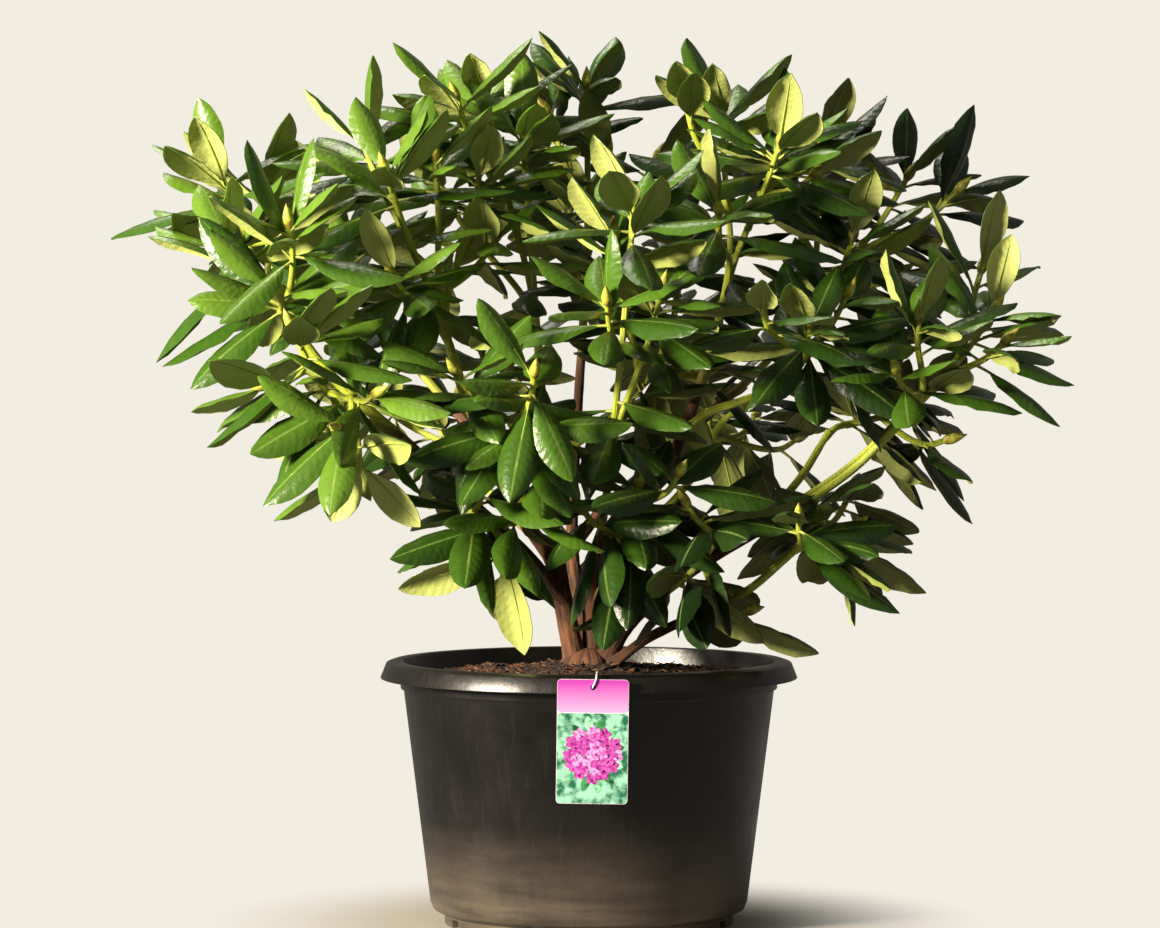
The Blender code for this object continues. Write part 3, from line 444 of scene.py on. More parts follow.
# %% The plan of limbs and shoots
class Plan:
    """Where every limb and shoot runs, and what already takes up room."""

    def __init__(self):
        self.paths, self.radii, self.sides = {}, {}, {}
        self.taken = []  # for each thing: its owner, search trees of all of it and of its blade, its ball
        self.tips = []
        for limb in LIMBS:
            self.add_limb(limb)
        self.shoots = {spray.name: self.leading_shoots(spray) for spray in SPRAYS}
        for spray in SPRAYS:
            rng = random.Random(f"{spray.name} side shoots")
            leaders = self.shoots[spray.name][1:]
            sizes = (SIDE_SHOOT_STARTS, SIDE_SHOOT_LENGTHS, TIP_SPACING, TEST_MARGIN)
            self.add_side_shoots(spray, rng, leaders, spray.side_shoots, *sizes)

    def take(self, name, shape, blade=None):
        """Notes the room that a shape takes up: a leaf with its blade, a twig or limb without one."""
        low, high = Vector(map(min, *shape[0])), Vector(map(max, *shape[0]))
        blade_tree = tree_of(blade) if blade else None
        self.taken.append((name, tree_of(shape), blade_tree, (low + high) / 2, (high - low).length / 2))

    def add_limb(self, limb):
        if limb.parent == "crown":
            root = above_compost(*limb.start, 8)
            along = Vector((root.x, root.y, 0.05)).normalized()
        else:
            parent = self.paths[limb.parent]
            root, along = point_along(parent, min(limb.start, 1 - 0.3 / (len(parent) - 1)))
        points = [root, *(above_compost(*p) for p in limb.points)]
        first = (along * FOLLOW_PARENT + (points[1] - root).normalized()).normalized()
        last = ((points[-1] - points[-2]).normalized() + UP * TURN_UP).normalized()
        path = smooth_path(points, STEPS_PER_SPAN, first, last)
        self.paths[limb.name] = path
        self.radii[limb.name] = tapered(path, limb.radii[0] * MM, limb.radii[1] * MM)
        self.sides[limb.name] = STEM_SIDES if limb.name in STEM_NAMES else LIMB_SIDES
        self.take(limb.name, tube(path, self.radii[limb.name], self.sides[limb.name]))

    def shoot_path(self, start, heading, end):
        """A shoot that leaves along a heading, swings outwards and ends pointing up."""
        length = (end - start).length
        outward = Vector((end.x, end.y, 0)) * 1.25
        rise = (UP * 1.1 + outward + (end - start).normalized() * 0.7).normalized()
        return bezier(
            start - heading * 0.004, start + heading * length * 0.30, end - rise * length * 0.35, end, SHOOT_STEPS
        )

    def leading_shoots(self, spray):
        """The paths of a spray's stub and leading shoots, from its bough's tip to each bud."""
        bough = self.paths[spray.bough]
        heading = tangents(bough)[-1]
        start = bough[-1] + heading * CLEARANCE
        fork = start + heading * FORK_STUB
        shoots = [[start, fork]]
        for tip in spray.leaders:
            shoots.append(self.shoot_path(fork, heading, above_compost(*tip)))
            self.tips.append(shoots[-1][-1])
        self.take(spray.name, tube(shoots[0], [LIMB_RADIUS_AT_SPRAY] * 2, LIMB_SIDES))
        for path in shoots[1:]:
            self.take(spray.name, shoot_shape(path, [SHOOT_RADII[0]] * len(path)))
        return shoots

    def add_side_shoots(self, spray, rng, leaders, wanted, starts, lengths, spacing, margin):
        """Side shoots by a seeded rule: each leaves a leader and ends where no other tip is near."""
        added = []
        for attempt in range(60):
            if len(added) == wanted:
                break
            start, along = point_along(rng.choice(leaders), rng.uniform(*starts))
            across = Matrix.Rotation(rng.uniform(0, math.tau), 3, along) @ along.orthogonal()
            heading = Matrix.Rotation(rng.uniform(*SIDE_SHOOT_ANGLES), 3, across) @ along
            outward = Vector((start.x, start.y, 0)) * 1.2
            end = start + (heading + UP * 0.3 + outward).normalized() * rng.uniform(*lengths)
            radius = math.hypot(end.x, end.y)
            roof = SOIL_TOP + CROWN_TOP - CROWN_SHOULDER * (radius / CROWN_RADIUS) ** 2
            if radius > CROWN_RADIUS or end.z > roof or min((end - tip).length for tip in self.tips) < spacing:
                continue
            path = self.shoot_path(start, heading, end)
            room = shoot_shape(path[1:], [SHOOT_RADII[0] + margin] * SHOOT_STEPS)
            if self.has_room(spray.name, room, room):
                self.shoots[spray.name].append(path)
                self.tips.append(end)
                self.take(spray.name, shoot_shape(path, [SHOOT_RADII[0]] * len(path)))
                added.append(path)
        return added

    def has_room(self, name, whole, blade):
        """Whether a leaf is clear of other sprays and limbs, and its blade of its own spray too."""
        low, high = Vector(map(min, *whole[0])), Vector(map(max, *whole[0]))
        middle, reach = (low + high) / 2, (high - low).length / 2
        if low.z < POT_HEIGHT + 0.004:
            return False
        whole_tree, blade_tree = tree_of(whole), tree_of(blade)
        for owner, tree, other_blade, centre, size in self.taken:
            if (centre - middle).length > size + reach:
                continue
            if owner != name:
                if whole_tree.overlap(tree):
                    return False
            elif blade_tree.overlap(tree) or (other_blade and whole_tree.overlap(other_blade)):
                return False
        return True

# %% The rule for one leaf
Leaf = namedtuple("Leaf", "root heading side length width droop")


def leaf_line(leaf, shares):
    """Points, directions and normals at shares of a leaf's length, as it bends over."""
    steps = 12
    point, marks = leaf.root.copy(), []
    for step in range(steps + 1):
        direction = Matrix.Rotation(leaf.droop * (step / steps) ** 2, 3, leaf.side) @ leaf.heading
        marks.append((point.copy(), direction))
        point = point + direction * (leaf.length / steps)
    found = []
    for share in shares:
        place = min(share, 1.0) * steps
        whole = min(int(place), steps - 1)
        spot = marks[whole][0].lerp(marks[whole + 1][0], place - whole)
        direction = marks[whole][1].lerp(marks[whole + 1][1], place - whole).normalized()
        spot = spot + direction * (max(share - 1.0, 0.0) * leaf.length)
        found.append((spot, direction.cross(leaf.side)))
    return found


def leaf_room(leaf, start, margin):
    """A closed shape a little larger than the leaf from a share of its length on, for testing."""
    before, after = (0.0, 2 * PETIOLE_RADIUS / leaf.width), LEAF_STATIONS[0]
    narrow = before[1] + (after[1] - before[1]) * start / after[0]
    outline = ((start, narrow), *LEAF_STATIONS, (1.01, 0.0))
    rings = []
    for (point, normal), (_, half) in zip(leaf_line(leaf, [share for share, _ in outline]), outline):
        reach = leaf.side * (leaf.width / 2 * half + margin)
        lift = normal * margin
        rings.append([point + lift, point + reach, point - lift * 1.6, point - reach])
    return loft(rings)


def candidate(rng, place, axis, turn, inner, nudge, hang):
    """One leaf of a whorl: turn is its azimuth, inner runs from 0 for the oldest to 1 for the youngest."""
    height = min(max((place.z - LOW_CROWN) / (HIGH_CROWN - LOW_CROWN), 0.0), 1.0)
    outer_rise = HANGING[0] * hang + (RISING[0] - HANGING[0] * hang) * height
    inner_rise = HANGING[1] + (RISING[1] - HANGING[1]) * height
    rise = outer_rise + (inner_rise - outer_rise) * inner + rng.uniform(-0.16, 0.16) + nudge
    outward = Vector((place.x, place.y, 0))
    first = (outward - axis * outward.dot(axis)).normalized()
    second = axis.cross(first)
    radial = first * math.cos(turn) + second * math.sin(turn)
    heading = (radial * math.cos(rise) + axis * math.sin(rise)).normalized()
    roll = Matrix.Rotation(rng.uniform(-LEAF_ROLL, LEAF_ROLL), 3, heading)
    side = roll @ axis.cross(radial).normalized()
    length = (LEAF_LENGTHS[0] + (LEAF_LENGTHS[1] - LEAF_LENGTHS[0]) * inner) * rng.uniform(0.9, 1.1)
    width = length * LEAF_WIDTH_SHARE * rng.uniform(0.9, 1.1)
    return Leaf(place, heading, side, length, width, rng.uniform(*LEAF_DROOP))

# %% The rule for a whorl, and for all of them
def grow_whorl(plan, spray, rng, path, back, count, inner_range, margin=TEST_MARGIN, inside=None, lift=0.0):
    """The leaves of one whorl, each turned or tilted until it has room, or left out.

    The whorl sits on a shoot, a distance back from its end, and faces the way the shoot does,
    lifted a little towards the light. Its oldest and longest leaf points out of the crown.
    """
    leaves = []
    turn = rng.uniform(-0.4, 0.4) - GOLDEN_ANGLE
    for k in range(count):
        share = k / max(count - 1, 1)
        inner = inner_range[0] + (inner_range[1] - inner_range[0]) * share
        root, along = point_back(path, back + ROSETTE_DEPTH * (1 - share))
        axis = (along + UP * WHORL_LIFT).normalized()
        turn += GOLDEN_ANGLE
        for attempt in range(TRIES):
            swing = rng.uniform(-0.16, 0.16) * attempt
            nudge = rng.uniform(-0.11, 0.13) * attempt + lift
            leaf = candidate(rng, root, axis, turn + swing, inner, nudge, spray.hang)
            whole, blade = leaf_room(leaf, 0.05, margin), leaf_room(leaf, 0.22, margin)
            if inside and not all(inside(corner) for corner in whole[0]):
                continue
            if plan.has_room(spray.name, whole, blade):
                plan.take(spray.name, whole, blade)
                leaves.append(leaf)
                break
    return leaves


def grow_leaves(plan):
    """All leaves by spray: rosettes first, then the collars at the forks and at the sprays' feet."""
    leaves = {spray.name: [] for spray in SPRAYS}
    for spray in SPRAYS:
        for k, path in enumerate(plan.shoots[spray.name][1:]):
            rng = random.Random(f"{spray.name} rosette {k}")
            leaves[spray.name] += grow_whorl(plan, spray, rng, path, 0.004, ROSETTE_LEAVES, (0.0, 1.0))
    for spray in SPRAYS:
        rng = random.Random(f"{spray.name} fork")
        longest = max(plan.shoots[spray.name][1:], key=lambda path: (path[-1] - path[0]).length)
        reach = (longest[-1] - longest[0]).length
        leaves[spray.name] += grow_whorl(plan, spray, rng, longest, reach * 0.75, FORK_LEAVES, (0.1, 0.5))
        if reach > 0.13:
            leaves[spray.name] += grow_whorl(plan, spray, rng, longest, reach * 0.4, MIDDLE_LEAVES, (0.2, 0.6))
    return leaves


plan = Plan()
leaves = grow_leaves(plan)
print(sum(map(len, leaves.values())), "leaves as in the solids")

# %% [markdown]
# ## Finer growth
#
# The solids hold as many leaves as their count of faces allows. Here the same rule goes on with
# finer side shoots and with more leaves in each rosette, wherever there is still room inside the
# box of the frame, so the crown gets the density of the real shrub without growing larger.

# %% Finer side shoots and leaves
FINE_SHOOTS = 1  # for each leading shoot's spray
FINE_STARTS = (0.3, 0.8)
FINE_LENGTHS = (0.045, 0.085)
FINE_SPACING = 0.046
FINE_MARGIN = 0.9 * MM
FINE_LEAVES = 6
INNER_LEAVES = 3
YOUNG_LIFT, FINE_LIFT = 0.32, 0.16  # how much steeper than the rule's the added leaves stand, in radians


def inside_frame(point):
    """Whether a point lies in the box of the solids."""
    return all(low < value < high for low, value, high in zip(cad_low, point, cad_high))


# Where the picture shows a shoot that the solids have no room for, by its tip in millimetres.
FINE_TIPS = {
    "left_low_spray": ((-312, -205, 292), (-228, -205, 212)),
    "low_left_spray": ((-75, -150, 112),),
    "upper_left_spray": ((-226, -40, 532), (-150, 40, 404)),
    "top_left_spray": ((-132, -20, 574),),
    "middle_spray": ((95, 60, 430),),
    "top_right_spray": ((98, 10, 574), (234, 20, 522)),
    "back_right_spray": ((378, 110, 486), (262, 250, 400)),
    "back_low_right_spray": ((226, 232, 318), (62, 330, 352)),
    "back_low_left_spray": ((-240, 262, 318), (-72, 338, 330)),
    "back_top_spray": ((100, 262, 436),),
    "right_spray": ((392, -40, 402),),
}
# Where the picture looks through the crown, from the camera: middle and radius in millimetres.
SKY_WINDOWS = (
    (-342, 541, 30), (62, 547, 34), (-4, 294, 34), (118, 183, 26), (204, 218, 32), (264, 244, 30),
    (315, 173, 26), (400, 233, 34), (390, 319, 26), (188, 72, 36), (-190, 112, 26), (375, 446, 26),
    (-327, 324, 22), (-413, 400, 24), (-332, 244, 28),
)


def fine_tip(spray, tip):
    """A finer shoot to a given tip, from the leading shoot that ends nearest to it."""
    end = above_compost(*tip)
    leader = min(plan.shoots[spray.name][1:], key=lambda path: (path[-1] - end).length)
    path = plan.shoot_path(*point_along(leader, 0.45), end)
    plan.shoots[spray.name].append(path)
    plan.tips.append(end)
    plan.take(spray.name, shoot_shape(path, [SHOOT_RADII[0]] * len(path)))
    return path


def in_sky_window(leaf):
    """Whether most of a leaf would cover one of the windows, as the camera sees it."""
    eye = camera.location
    covered = 0
    for point, _ in leaf_line(leaf, (0.35, 0.6, 0.85)):
        spot = eye + (point - eye) * (eye.y / (eye.y - point.y))
        for x, height, radius in SKY_WINDOWS:
            if math.hypot(spot.x - x * MM, spot.z - SOIL_TOP - height * MM) < radius * MM:
                covered += 1
                break
    return covered > 1


for spray in SPRAYS:
    rng = random.Random(f"{spray.name} fine shoots")
    leaders = plan.shoots[spray.name][1:]
    leaves[spray.name] = [leaf for leaf in leaves[spray.name] if not in_sky_window(leaf)]
    found = []
    for path in list(leaders):
        young = (0.002, INNER_LEAVES, (0.7, 1.0), FINE_MARGIN, inside_frame, YOUNG_LIFT)
        found += grow_whorl(plan, spray, rng, path, *young)
    sizes = (FINE_STARTS, FINE_LENGTHS, FINE_SPACING, FINE_MARGIN)
    new_shoots = [fine_tip(spray, tip) for tip in FINE_TIPS.get(spray.name, ())]
    new_shoots += plan.add_side_shoots(spray, rng, leaders, FINE_SHOOTS, *sizes)
    for path in new_shoots:
        young = (0.003, FINE_LEAVES, (0.2, 1.0), FINE_MARGIN, inside_frame, FINE_LIFT)
        found += grow_whorl(plan, spray, rng, path, *young)
    leaves[spray.name] += [leaf for leaf in found if not in_sky_window(leaf)]
print(sum(map(len, leaves.values())), "leaves on", sum(len(s) - 1 for s in plan.shoots.values()), "shoots")

# %% [markdown]
# ## A skin over lines
#
# Limbs, shoots, buds, leaf stalks and blades all follow a line: a section is swept along it and
# scaled by the line's own width. That is a job for Geometry Nodes. Each line goes in as edges with
# its widths stored as an attribute; Curve to Mesh does the sweeping. Drawing the parts one by one
# would need a list of points for each, and would be hard to change.

# %% Lines as a mesh
def lines_object(name, lines):
    """An object of edges for lines of (point, values) pairs, values being a dict of attributes."""
    mesh = bpy.data.meshes.new(name)
    points = [point for line in lines for point, _ in line]
    edges, start = [], 0
    for line in lines:
        edges += [(start + k, start + k + 1) for k in range(len(line) - 1)]
        start += len(line)
    mesh.from_pydata(points, edges, [])
    for key, value in lines[0][0][1].items():
        kind = "FLOAT_VECTOR" if isinstance(value, Vector) else "FLOAT"
        layer = mesh.attributes.new(key, kind, "POINT")
        numbers = [values[key] for line in lines for _, values in line]
        if kind == "FLOAT_VECTOR":
            layer.data.foreach_set("vector", [number for vector in numbers for number in vector])
        else:
            layer.data.foreach_set("value", numbers)
    thing = bpy.data.objects.new(name, mesh)
    scene.collection.objects.link(thing)
    return thing


def new_group(name, sockets):
    """A Geometry Nodes tree with the named inputs, its input and its output node."""
    group = bpy.data.node_groups.new(name, "GeometryNodeTree")
    group.interface.new_socket("Geometry", in_out="INPUT", socket_type="NodeSocketGeometry")
    group.interface.new_socket("Geometry", in_out="OUTPUT", socket_type="NodeSocketGeometry")
    for label, kind in sockets.items():
        group.interface.new_socket(label, in_out="INPUT", socket_type="NodeSocket" + kind)
    return group, add(group, "NodeGroupInput").outputs, add(group, "NodeGroupOutput").inputs[0]


def settle(thing, group=None, **values):
    """Runs a tree, if one is given, and any modifiers on an object, and keeps the plain mesh."""
    if group:
        modifier = thing.modifiers.new(group.name, "NODES")
        modifier.node_group = group
        for item in group.interface.items_tree:
            label = item.name.replace(" ", "_").lower()
            if item.item_type == "SOCKET" and item.in_out == "INPUT" and label in values:
                modifier[item.identifier] = values[label]
    graph = bpy.context.evaluated_depsgraph_get()
    mesh = bpy.data.meshes.new_from_object(thing.evaluated_get(graph), depsgraph=graph)
    thing.modifiers.clear()
    old = thing.data
    thing.data = mesh
    bpy.data.meshes.remove(old)
    mesh.name = thing.name
    return thing

# %% The tree that sweeps round sections
round_tree, source, result = new_group(
    "round_skin", {"Sides": "Int", "Relief": "Float", "Ridge Width": "Float", "Skin": "Material"}
)
curve = add(round_tree, "GeometryNodeMeshToCurve", {"Mesh": source["Geometry"]}).outputs[0]
along = add(round_tree, "GeometryNodeSplineParameter").outputs["Length"]
ring = add(round_tree, "GeometryNodeCurvePrimitiveCircle", {"Resolution": source["Sides"], "Radius": 1.0})
around = add(round_tree, "GeometryNodeSplineParameter").outputs["Factor"]
curve = add(
    round_tree, "GeometryNodeStoreNamedAttribute", {"Geometry": curve, "Name": "along", "Value": along},
    data_type="FLOAT", domain="POINT",
).outputs[0]
ring = add(
    round_tree, "GeometryNodeStoreNamedAttribute",
    {"Geometry": ring.outputs[0], "Name": "around", "Value": around}, data_type="FLOAT", domain="POINT",
).outputs[0]
width = add(round_tree, "GeometryNodeInputNamedAttribute", {"Name": "reach"}, data_type="FLOAT").outputs[0]
swept = add(
    round_tree, "GeometryNodeCurveToMesh",
    {"Curve": curve, "Profile Curve": ring, "Scale": width, "Fill Caps": True},
).outputs[0]
# Bark ridges run along the limb, so the noise is squeezed round it and drawn out along it.
turn = add(
    round_tree, "GeometryNodeInputNamedAttribute", {"Name": "around"}, data_type="FLOAT"
).outputs[0]
length = add(round_tree, "GeometryNodeInputNamedAttribute", {"Name": "along"}, data_type="FLOAT").outputs[0]
thick = add(round_tree, "GeometryNodeInputNamedAttribute", {"Name": "ripeness"}, data_type="FLOAT").outputs[0]
angle = add(round_tree, "ShaderNodeMath", {0: turn, 1: math.tau}, operation="MULTIPLY").outputs[0]
cosine = add(round_tree, "ShaderNodeMath", {0: angle}, operation="COSINE").outputs[0]
sine = add(round_tree, "ShaderNodeMath", {0: angle}, operation="SINE").outputs[0]
drawn = add(
    round_tree, "ShaderNodeMath", {0: length, 1: source["Ridge Width"]}, operation="DIVIDE"
).outputs[0]
drawn = add(round_tree, "ShaderNodeMath", {0: drawn, 1: 0.12}, operation="MULTIPLY").outputs[0]
spot = add(round_tree, "ShaderNodeCombineXYZ", {0: cosine, 1: sine, 2: drawn}).outputs[0]
ridge = add(
    round_tree, "ShaderNodeTexNoise", {"Vector": spot, "Scale": 2.6, "Detail": 3.0, "Roughness": 0.6},
).outputs[0]
ridge = add(round_tree, "ShaderNodeMath", {0: ridge, 1: 0.5}, operation="SUBTRACT").outputs[0]
ridge = add(round_tree, "ShaderNodeMath", {0: ridge, 1: source["Relief"]}, operation="MULTIPLY").outputs[0]
ridge = add(round_tree, "ShaderNodeMath", {0: ridge, 1: thick}, operation="MULTIPLY").outputs[0]
outwards = add(round_tree, "GeometryNodeInputNormal").outputs[0]
shift = add(
    round_tree, "ShaderNodeVectorMath", {0: outwards, "Scale": ridge}, operation="SCALE"
).outputs[0]
swept = add(round_tree, "GeometryNodeSetPosition", {"Geometry": swept, "Offset": shift}).outputs[0]
uv = add(round_tree, "ShaderNodeCombineXYZ", {0: turn, 1: length}).outputs[0]
swept = add(
    round_tree, "GeometryNodeStoreNamedAttribute", {"Geometry": swept, "Name": "UVMap", "Value": uv},
    data_type="FLOAT2", domain="CORNER",
).outputs[0]
whole = add(round_tree, "GeometryNodeRealizeInstances", {"Geometry": swept}).outputs[0]
dressed = add(round_tree, "GeometryNodeSetMaterial", {"Geometry": whole, "Material": source["Skin"]})
round_tree.links.new(dressed.outputs[0], result)
print("tree for round sections:", len(round_tree.nodes), "nodes")

# %% [markdown]
# ## Bark, green shoots and buds
#
# The oldest wood is dark brown, fibrous and cracked along its length. Towards the tips the bark
# turns smoother and redder, and the shoots of the last summer are bright yellow-green. One
# material follows that change through an attribute, ripeness, that goes with the limb's girth.

# %% Bark that ripens with girth
GREEN_REACH = 0.05  # how far back from its tip a limb is still green, in metres
LONG_GREEN = {"left_bough": 0.13, "right_bough": 0.12, "right_front_bough": 0.17}
RIPENING = 0.10  # the length over which green turns to bark


def ripeness(from_tip, green):
    """0 for a green shoot and 1 for old bark, by the distance from the limb's tip."""
    return min(max((from_tip - green) / RIPENING, 0.0), 1.0)


bark = bpy.data.materials.new("rhododendron_bark")
bark.use_nodes = True
tree = bark.node_tree
shader = tree.nodes["Principled BSDF"]
age = add(tree, "ShaderNodeAttribute", attribute_name="ripeness").outputs["Fac"]
place = add(tree, "ShaderNodeTexCoord")
uv = place.outputs["UV"]
# A strip of bark is about 3 mm wide and 40 mm long, on limbs some 40 mm round.
strips = add(tree, "ShaderNodeMapping", {"Vector": uv, "Scale": (12, 25, 1)}).outputs[0]
fibres = add(tree, "ShaderNodeTexNoise", {"Vector": strips, "Scale": 1.0, "Detail": 5.0, "Roughness": 0.65})
patches = add(tree, "ShaderNodeTexNoise", {"Vector": place.outputs["Object"], "Scale": 55.0, "Detail": 3.0})
stops = add(tree, "ShaderNodeValToRGB", {"Fac": age})
ramp = stops.color_ramp
ramp.elements[0].color = linear("#aebb3c")
ramp.elements[1].color = linear("#3c261a")
for share, colour in ((0.25, "#a5a03f"), (0.5, "#6f4a30")):
    ramp.elements.new(share).color = linear(colour)
cracks = add(tree, "ShaderNodeValToRGB", {"Fac": fibres.outputs["Fac"]})
cracks.color_ramp.elements[0].position = 0.36
cracks.color_ramp.elements[0].color = linear("#150d08")
cracks.color_ramp.elements[1].position = 0.62
cracks.color_ramp.elements[1].color = linear("#74492b")
depth = add(tree, "ShaderNodeMath", {0: age, 1: 0.85}, operation="MULTIPLY").outputs[0]
wood = add(
    tree, "ShaderNodeMix", {0: depth, 6: stops.outputs[0], 7: cracks.outputs[0]}, data_type="RGBA"
).outputs[2]
tint = add(tree, "ShaderNodeMapRange", {"Value": patches.outputs["Fac"], "To Min": 0.72, "To Max": 1.25})
tone = add(tree, "ShaderNodeVectorMath", {0: wood, "Scale": tint.outputs[0]}, operation="SCALE").outputs[0]
tree.links.new(tone, shader.inputs["Base Color"])
rough = add(tree, "ShaderNodeMapRange", {"Value": age, "To Min": 0.42, "To Max": 0.88}).outputs[0]
tree.links.new(rough, shader.inputs["Roughness"])
bump = add(tree, "ShaderNodeBump", {"Height": fibres.outputs["Fac"], "Strength": 0.9, "Distance": 0.003})
tree.links.new(bump.outputs[0], shader.inputs["Normal"])
print("bark:", len(tree.nodes), "nodes")

# %% Limbs
RELIEF = 2.4 * MM
RIDGE_WIDTH = 3 * MM
FORK_SWELLING = 0.28  # how much thicker a limb is where it leaves its parent
FORK_LENGTH = 0.024


def limb_line(path, radii, swelling, green=10.0):
    """A fine line along a limb, with a collar at the fork."""
    fine = smooth_path(path, 6)
    girths, lengths = [], [0.0]
    for k in range(len(fine)):
        place = k / 6
        whole = min(int(place), len(radii) - 2)
        girths.append(radii[whole] + (radii[whole + 1] - radii[whole]) * (place - whole))
        if k:
            lengths.append(lengths[-1] + (fine[k] - fine[k - 1]).length)
    line = []
    for point, girth, travelled in zip(fine, girths, lengths):
        collar = 1 + swelling * max(1 - travelled / FORK_LENGTH, 0.0) ** 2
        age = ripeness(lengths[-1] - travelled, green)
        line.append((point, {"reach": girth * collar, "ripeness": age}))
    return line


def finish_piece(thing, slot, *nodes):
    """Puts a piece on the body and hides the solids that it stands for; slot is not used."""
    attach(thing, "root")
    if nodes:
        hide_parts(*nodes)
    return thing


limb_lines = []
for limb in LIMBS:
    green = LONG_GREEN.get(limb.name, -0.2 if limb.name.endswith("stem") else GREEN_REACH)
    limb_lines.append(limb_line(plan.paths[limb.name], plan.radii[limb.name], FORK_SWELLING, green))
limbs = settle(
    lines_object("bark_of_limbs", limb_lines), round_tree,
    sides=14, relief=RELIEF, ridge_width=RIDGE_WIDTH, skin=bark,
)
limbs.data.shade_smooth()
finish_piece(limbs, "bark", *(limb.name for limb in LIMBS))
print("limbs:", len(limbs.data.polygons), "faces")

# %% Root crown
CROWN_SECTIONS = ((-3.0, 39.0), (0.0, 36.5), (3.0, 33.5), (8.0, 30.0), (14.0, 26.0), (19.0, 20.0), (23.0, 11.0))
CROWN_SIDES = 60
FLARE_LOBES = 5
FLARE_DEPTH = 0.14
rings = []
for height, radius in CROWN_SECTIONS:
    flare = FLARE_DEPTH * (1 - max(height, 0.0) / CROWN_SECTIONS[-1][0])
    ring = []
    for k in range(CROWN_SIDES):
        turn = math.tau * k / CROWN_SIDES
        crease = 0.03 * math.sin(turn * 13 + height * 0.3) + 0.02 * math.sin(turn * 31 - height * 0.5)
        reach = radius * MM * (1 + flare * math.cos(FLARE_LOBES * turn) + crease)
        height_here = SOIL_TOP + max(height, -2.0) * MM
        ring.append(Vector((reach * math.cos(turn), reach * math.sin(turn), height_here)))
    rings.append(ring)
vertices, faces = loft(rings, Vector((0, 0, SOIL_TOP + 24 * MM)))
mesh = bpy.data.meshes.new("root_flare")
mesh.from_pydata(vertices, [], faces)
layer = mesh.attributes.new("ripeness", "FLOAT", "POINT")
layer.data.foreach_set("value", [1.0] * len(vertices))
uv_layer = mesh.uv_layers.new(name="UVMap")
for loop in mesh.loops:
    point = mesh.vertices[loop.vertex_index].co
    uv_layer.data[loop.index].uv = ((math.atan2(point.y, point.x) / math.tau) % 1.0 * 3, point.z)
form = bmesh.new()
form.from_mesh(mesh)
bmesh.ops.recalc_face_normals(form, faces=form.faces)
form.to_mesh(mesh)
form.free()
mesh.materials.append(bark)
mesh.shade_smooth()
flare_piece = bpy.data.objects.new("root_flare", mesh)
scene.collection.objects.link(flare_piece)
finish_piece(flare_piece, "bark", "root_crown")
print("root flare:", len(mesh.polygons), "faces")

# %% Green shoots
def shoot_line(path, radii):
    """A fine line along a shoot."""
    return limb_line(path, radii, 0.15)


shoot_lines = []
for spray in SPRAYS:
    stub, *paths = plan.shoots[spray.name]
    bough_radius = plan.radii[spray.bough][-1]
    heading = (stub[1] - stub[0]).normalized()
    foot = [stub[0], stub[0].lerp(stub[1], 0.5), stub[1] + heading * 0.004]
    shoot_lines.append(limb_line(foot, [bough_radius * 0.97, bough_radius * 0.97, SHOOT_RADII[0] * 1.1], 0.0))
    for path in paths:
        shoot_lines.append(shoot_line(path, tapered(path, *SHOOT_RADII)))
shoots = settle(
    lines_object("green_shoots", shoot_lines), round_tree,
    sides=8, relief=0.0, ridge_width=RIDGE_WIDTH, skin=bark,
)
shoots.data.shade_smooth()
finish_piece(shoots, "foliage", *(spray.name for spray in SPRAYS))
print("shoots:", len(shoots.data.polygons), "faces")

# %% Bud scales
bud_skin = bpy.data.materials.new("waxy_bud_scales")
bud_skin.use_nodes = True
tree = bud_skin.node_tree
shader = tree.nodes["Principled BSDF"]
uv = add(tree, "ShaderNodeTexCoord").outputs["UV"]
# Scales are about 5 mm tall and a third of the way round, row over row.
scales = add(tree, "ShaderNodeMapping", {"Vector": uv, "Scale": (3.0, 210, 1)}).outputs[0]
cells = add(tree, "ShaderNodeTexVoronoi", {"Vector": scales, "Scale": 1.0}, feature="F1")
edges = add(tree, "ShaderNodeValToRGB", {"Fac": cells.outputs["Distance"]})
edges.color_ramp.elements[0].color = linear("#c2c648")
edges.color_ramp.elements[1].color = linear("#8f7f30")
edges.color_ramp.elements[0].position = 0.35
edges.color_ramp.elements[1].position = 0.75
tree.links.new(edges.outputs[0], shader.inputs["Base Color"])
shader.inputs["Roughness"].default_value = 0.45
bump = add(
    tree, "ShaderNodeBump", {"Height": cells.outputs["Distance"], "Strength": 0.7, "Distance": 0.001}, invert=True
)
tree.links.new(bump.outputs[0], shader.inputs["Normal"])

BUD_GIRTHS = ((0.0, 0.58), (0.12, 0.86), (0.3, 1.0), (0.5, 0.9), (0.7, 0.62), (0.88, 0.28), (1.0, 0.05))
bud_lines = []
for spray in SPRAYS:
    for path in plan.shoots[spray.name][1:]:
        end = tangents(path)[-1]
        bud_lines.append([
            (path[-1] + end * (BUD_LENGTH * share), {"reach": BUD_RADIUS * girth, "ripeness": 0.0})
            for share, girth in BUD_GIRTHS
        ])
buds = settle(
    lines_object("winter_buds", bud_lines), round_tree,
    sides=8, relief=0.0, ridge_width=RIDGE_WIDTH, skin=bud_skin,
)
buds.data.shade_smooth()
finish_piece(buds, "foliage", *(spray.name for spray in SPRAYS))
print("buds:", len(bud_lines))

# %% [markdown]
# ## Leaves
#
# A leaf is a leathery blade, dark and glossy above and dull yellow-green below, on a pale stalk
# that runs on as a raised midrib under the blade. Its edges bend down a little. The section of the
# blade, a shallow gull wing, is swept along the leaf's own line and scaled by its half width.
# Solidify gives the blade its thickness and its underside a material of its own.

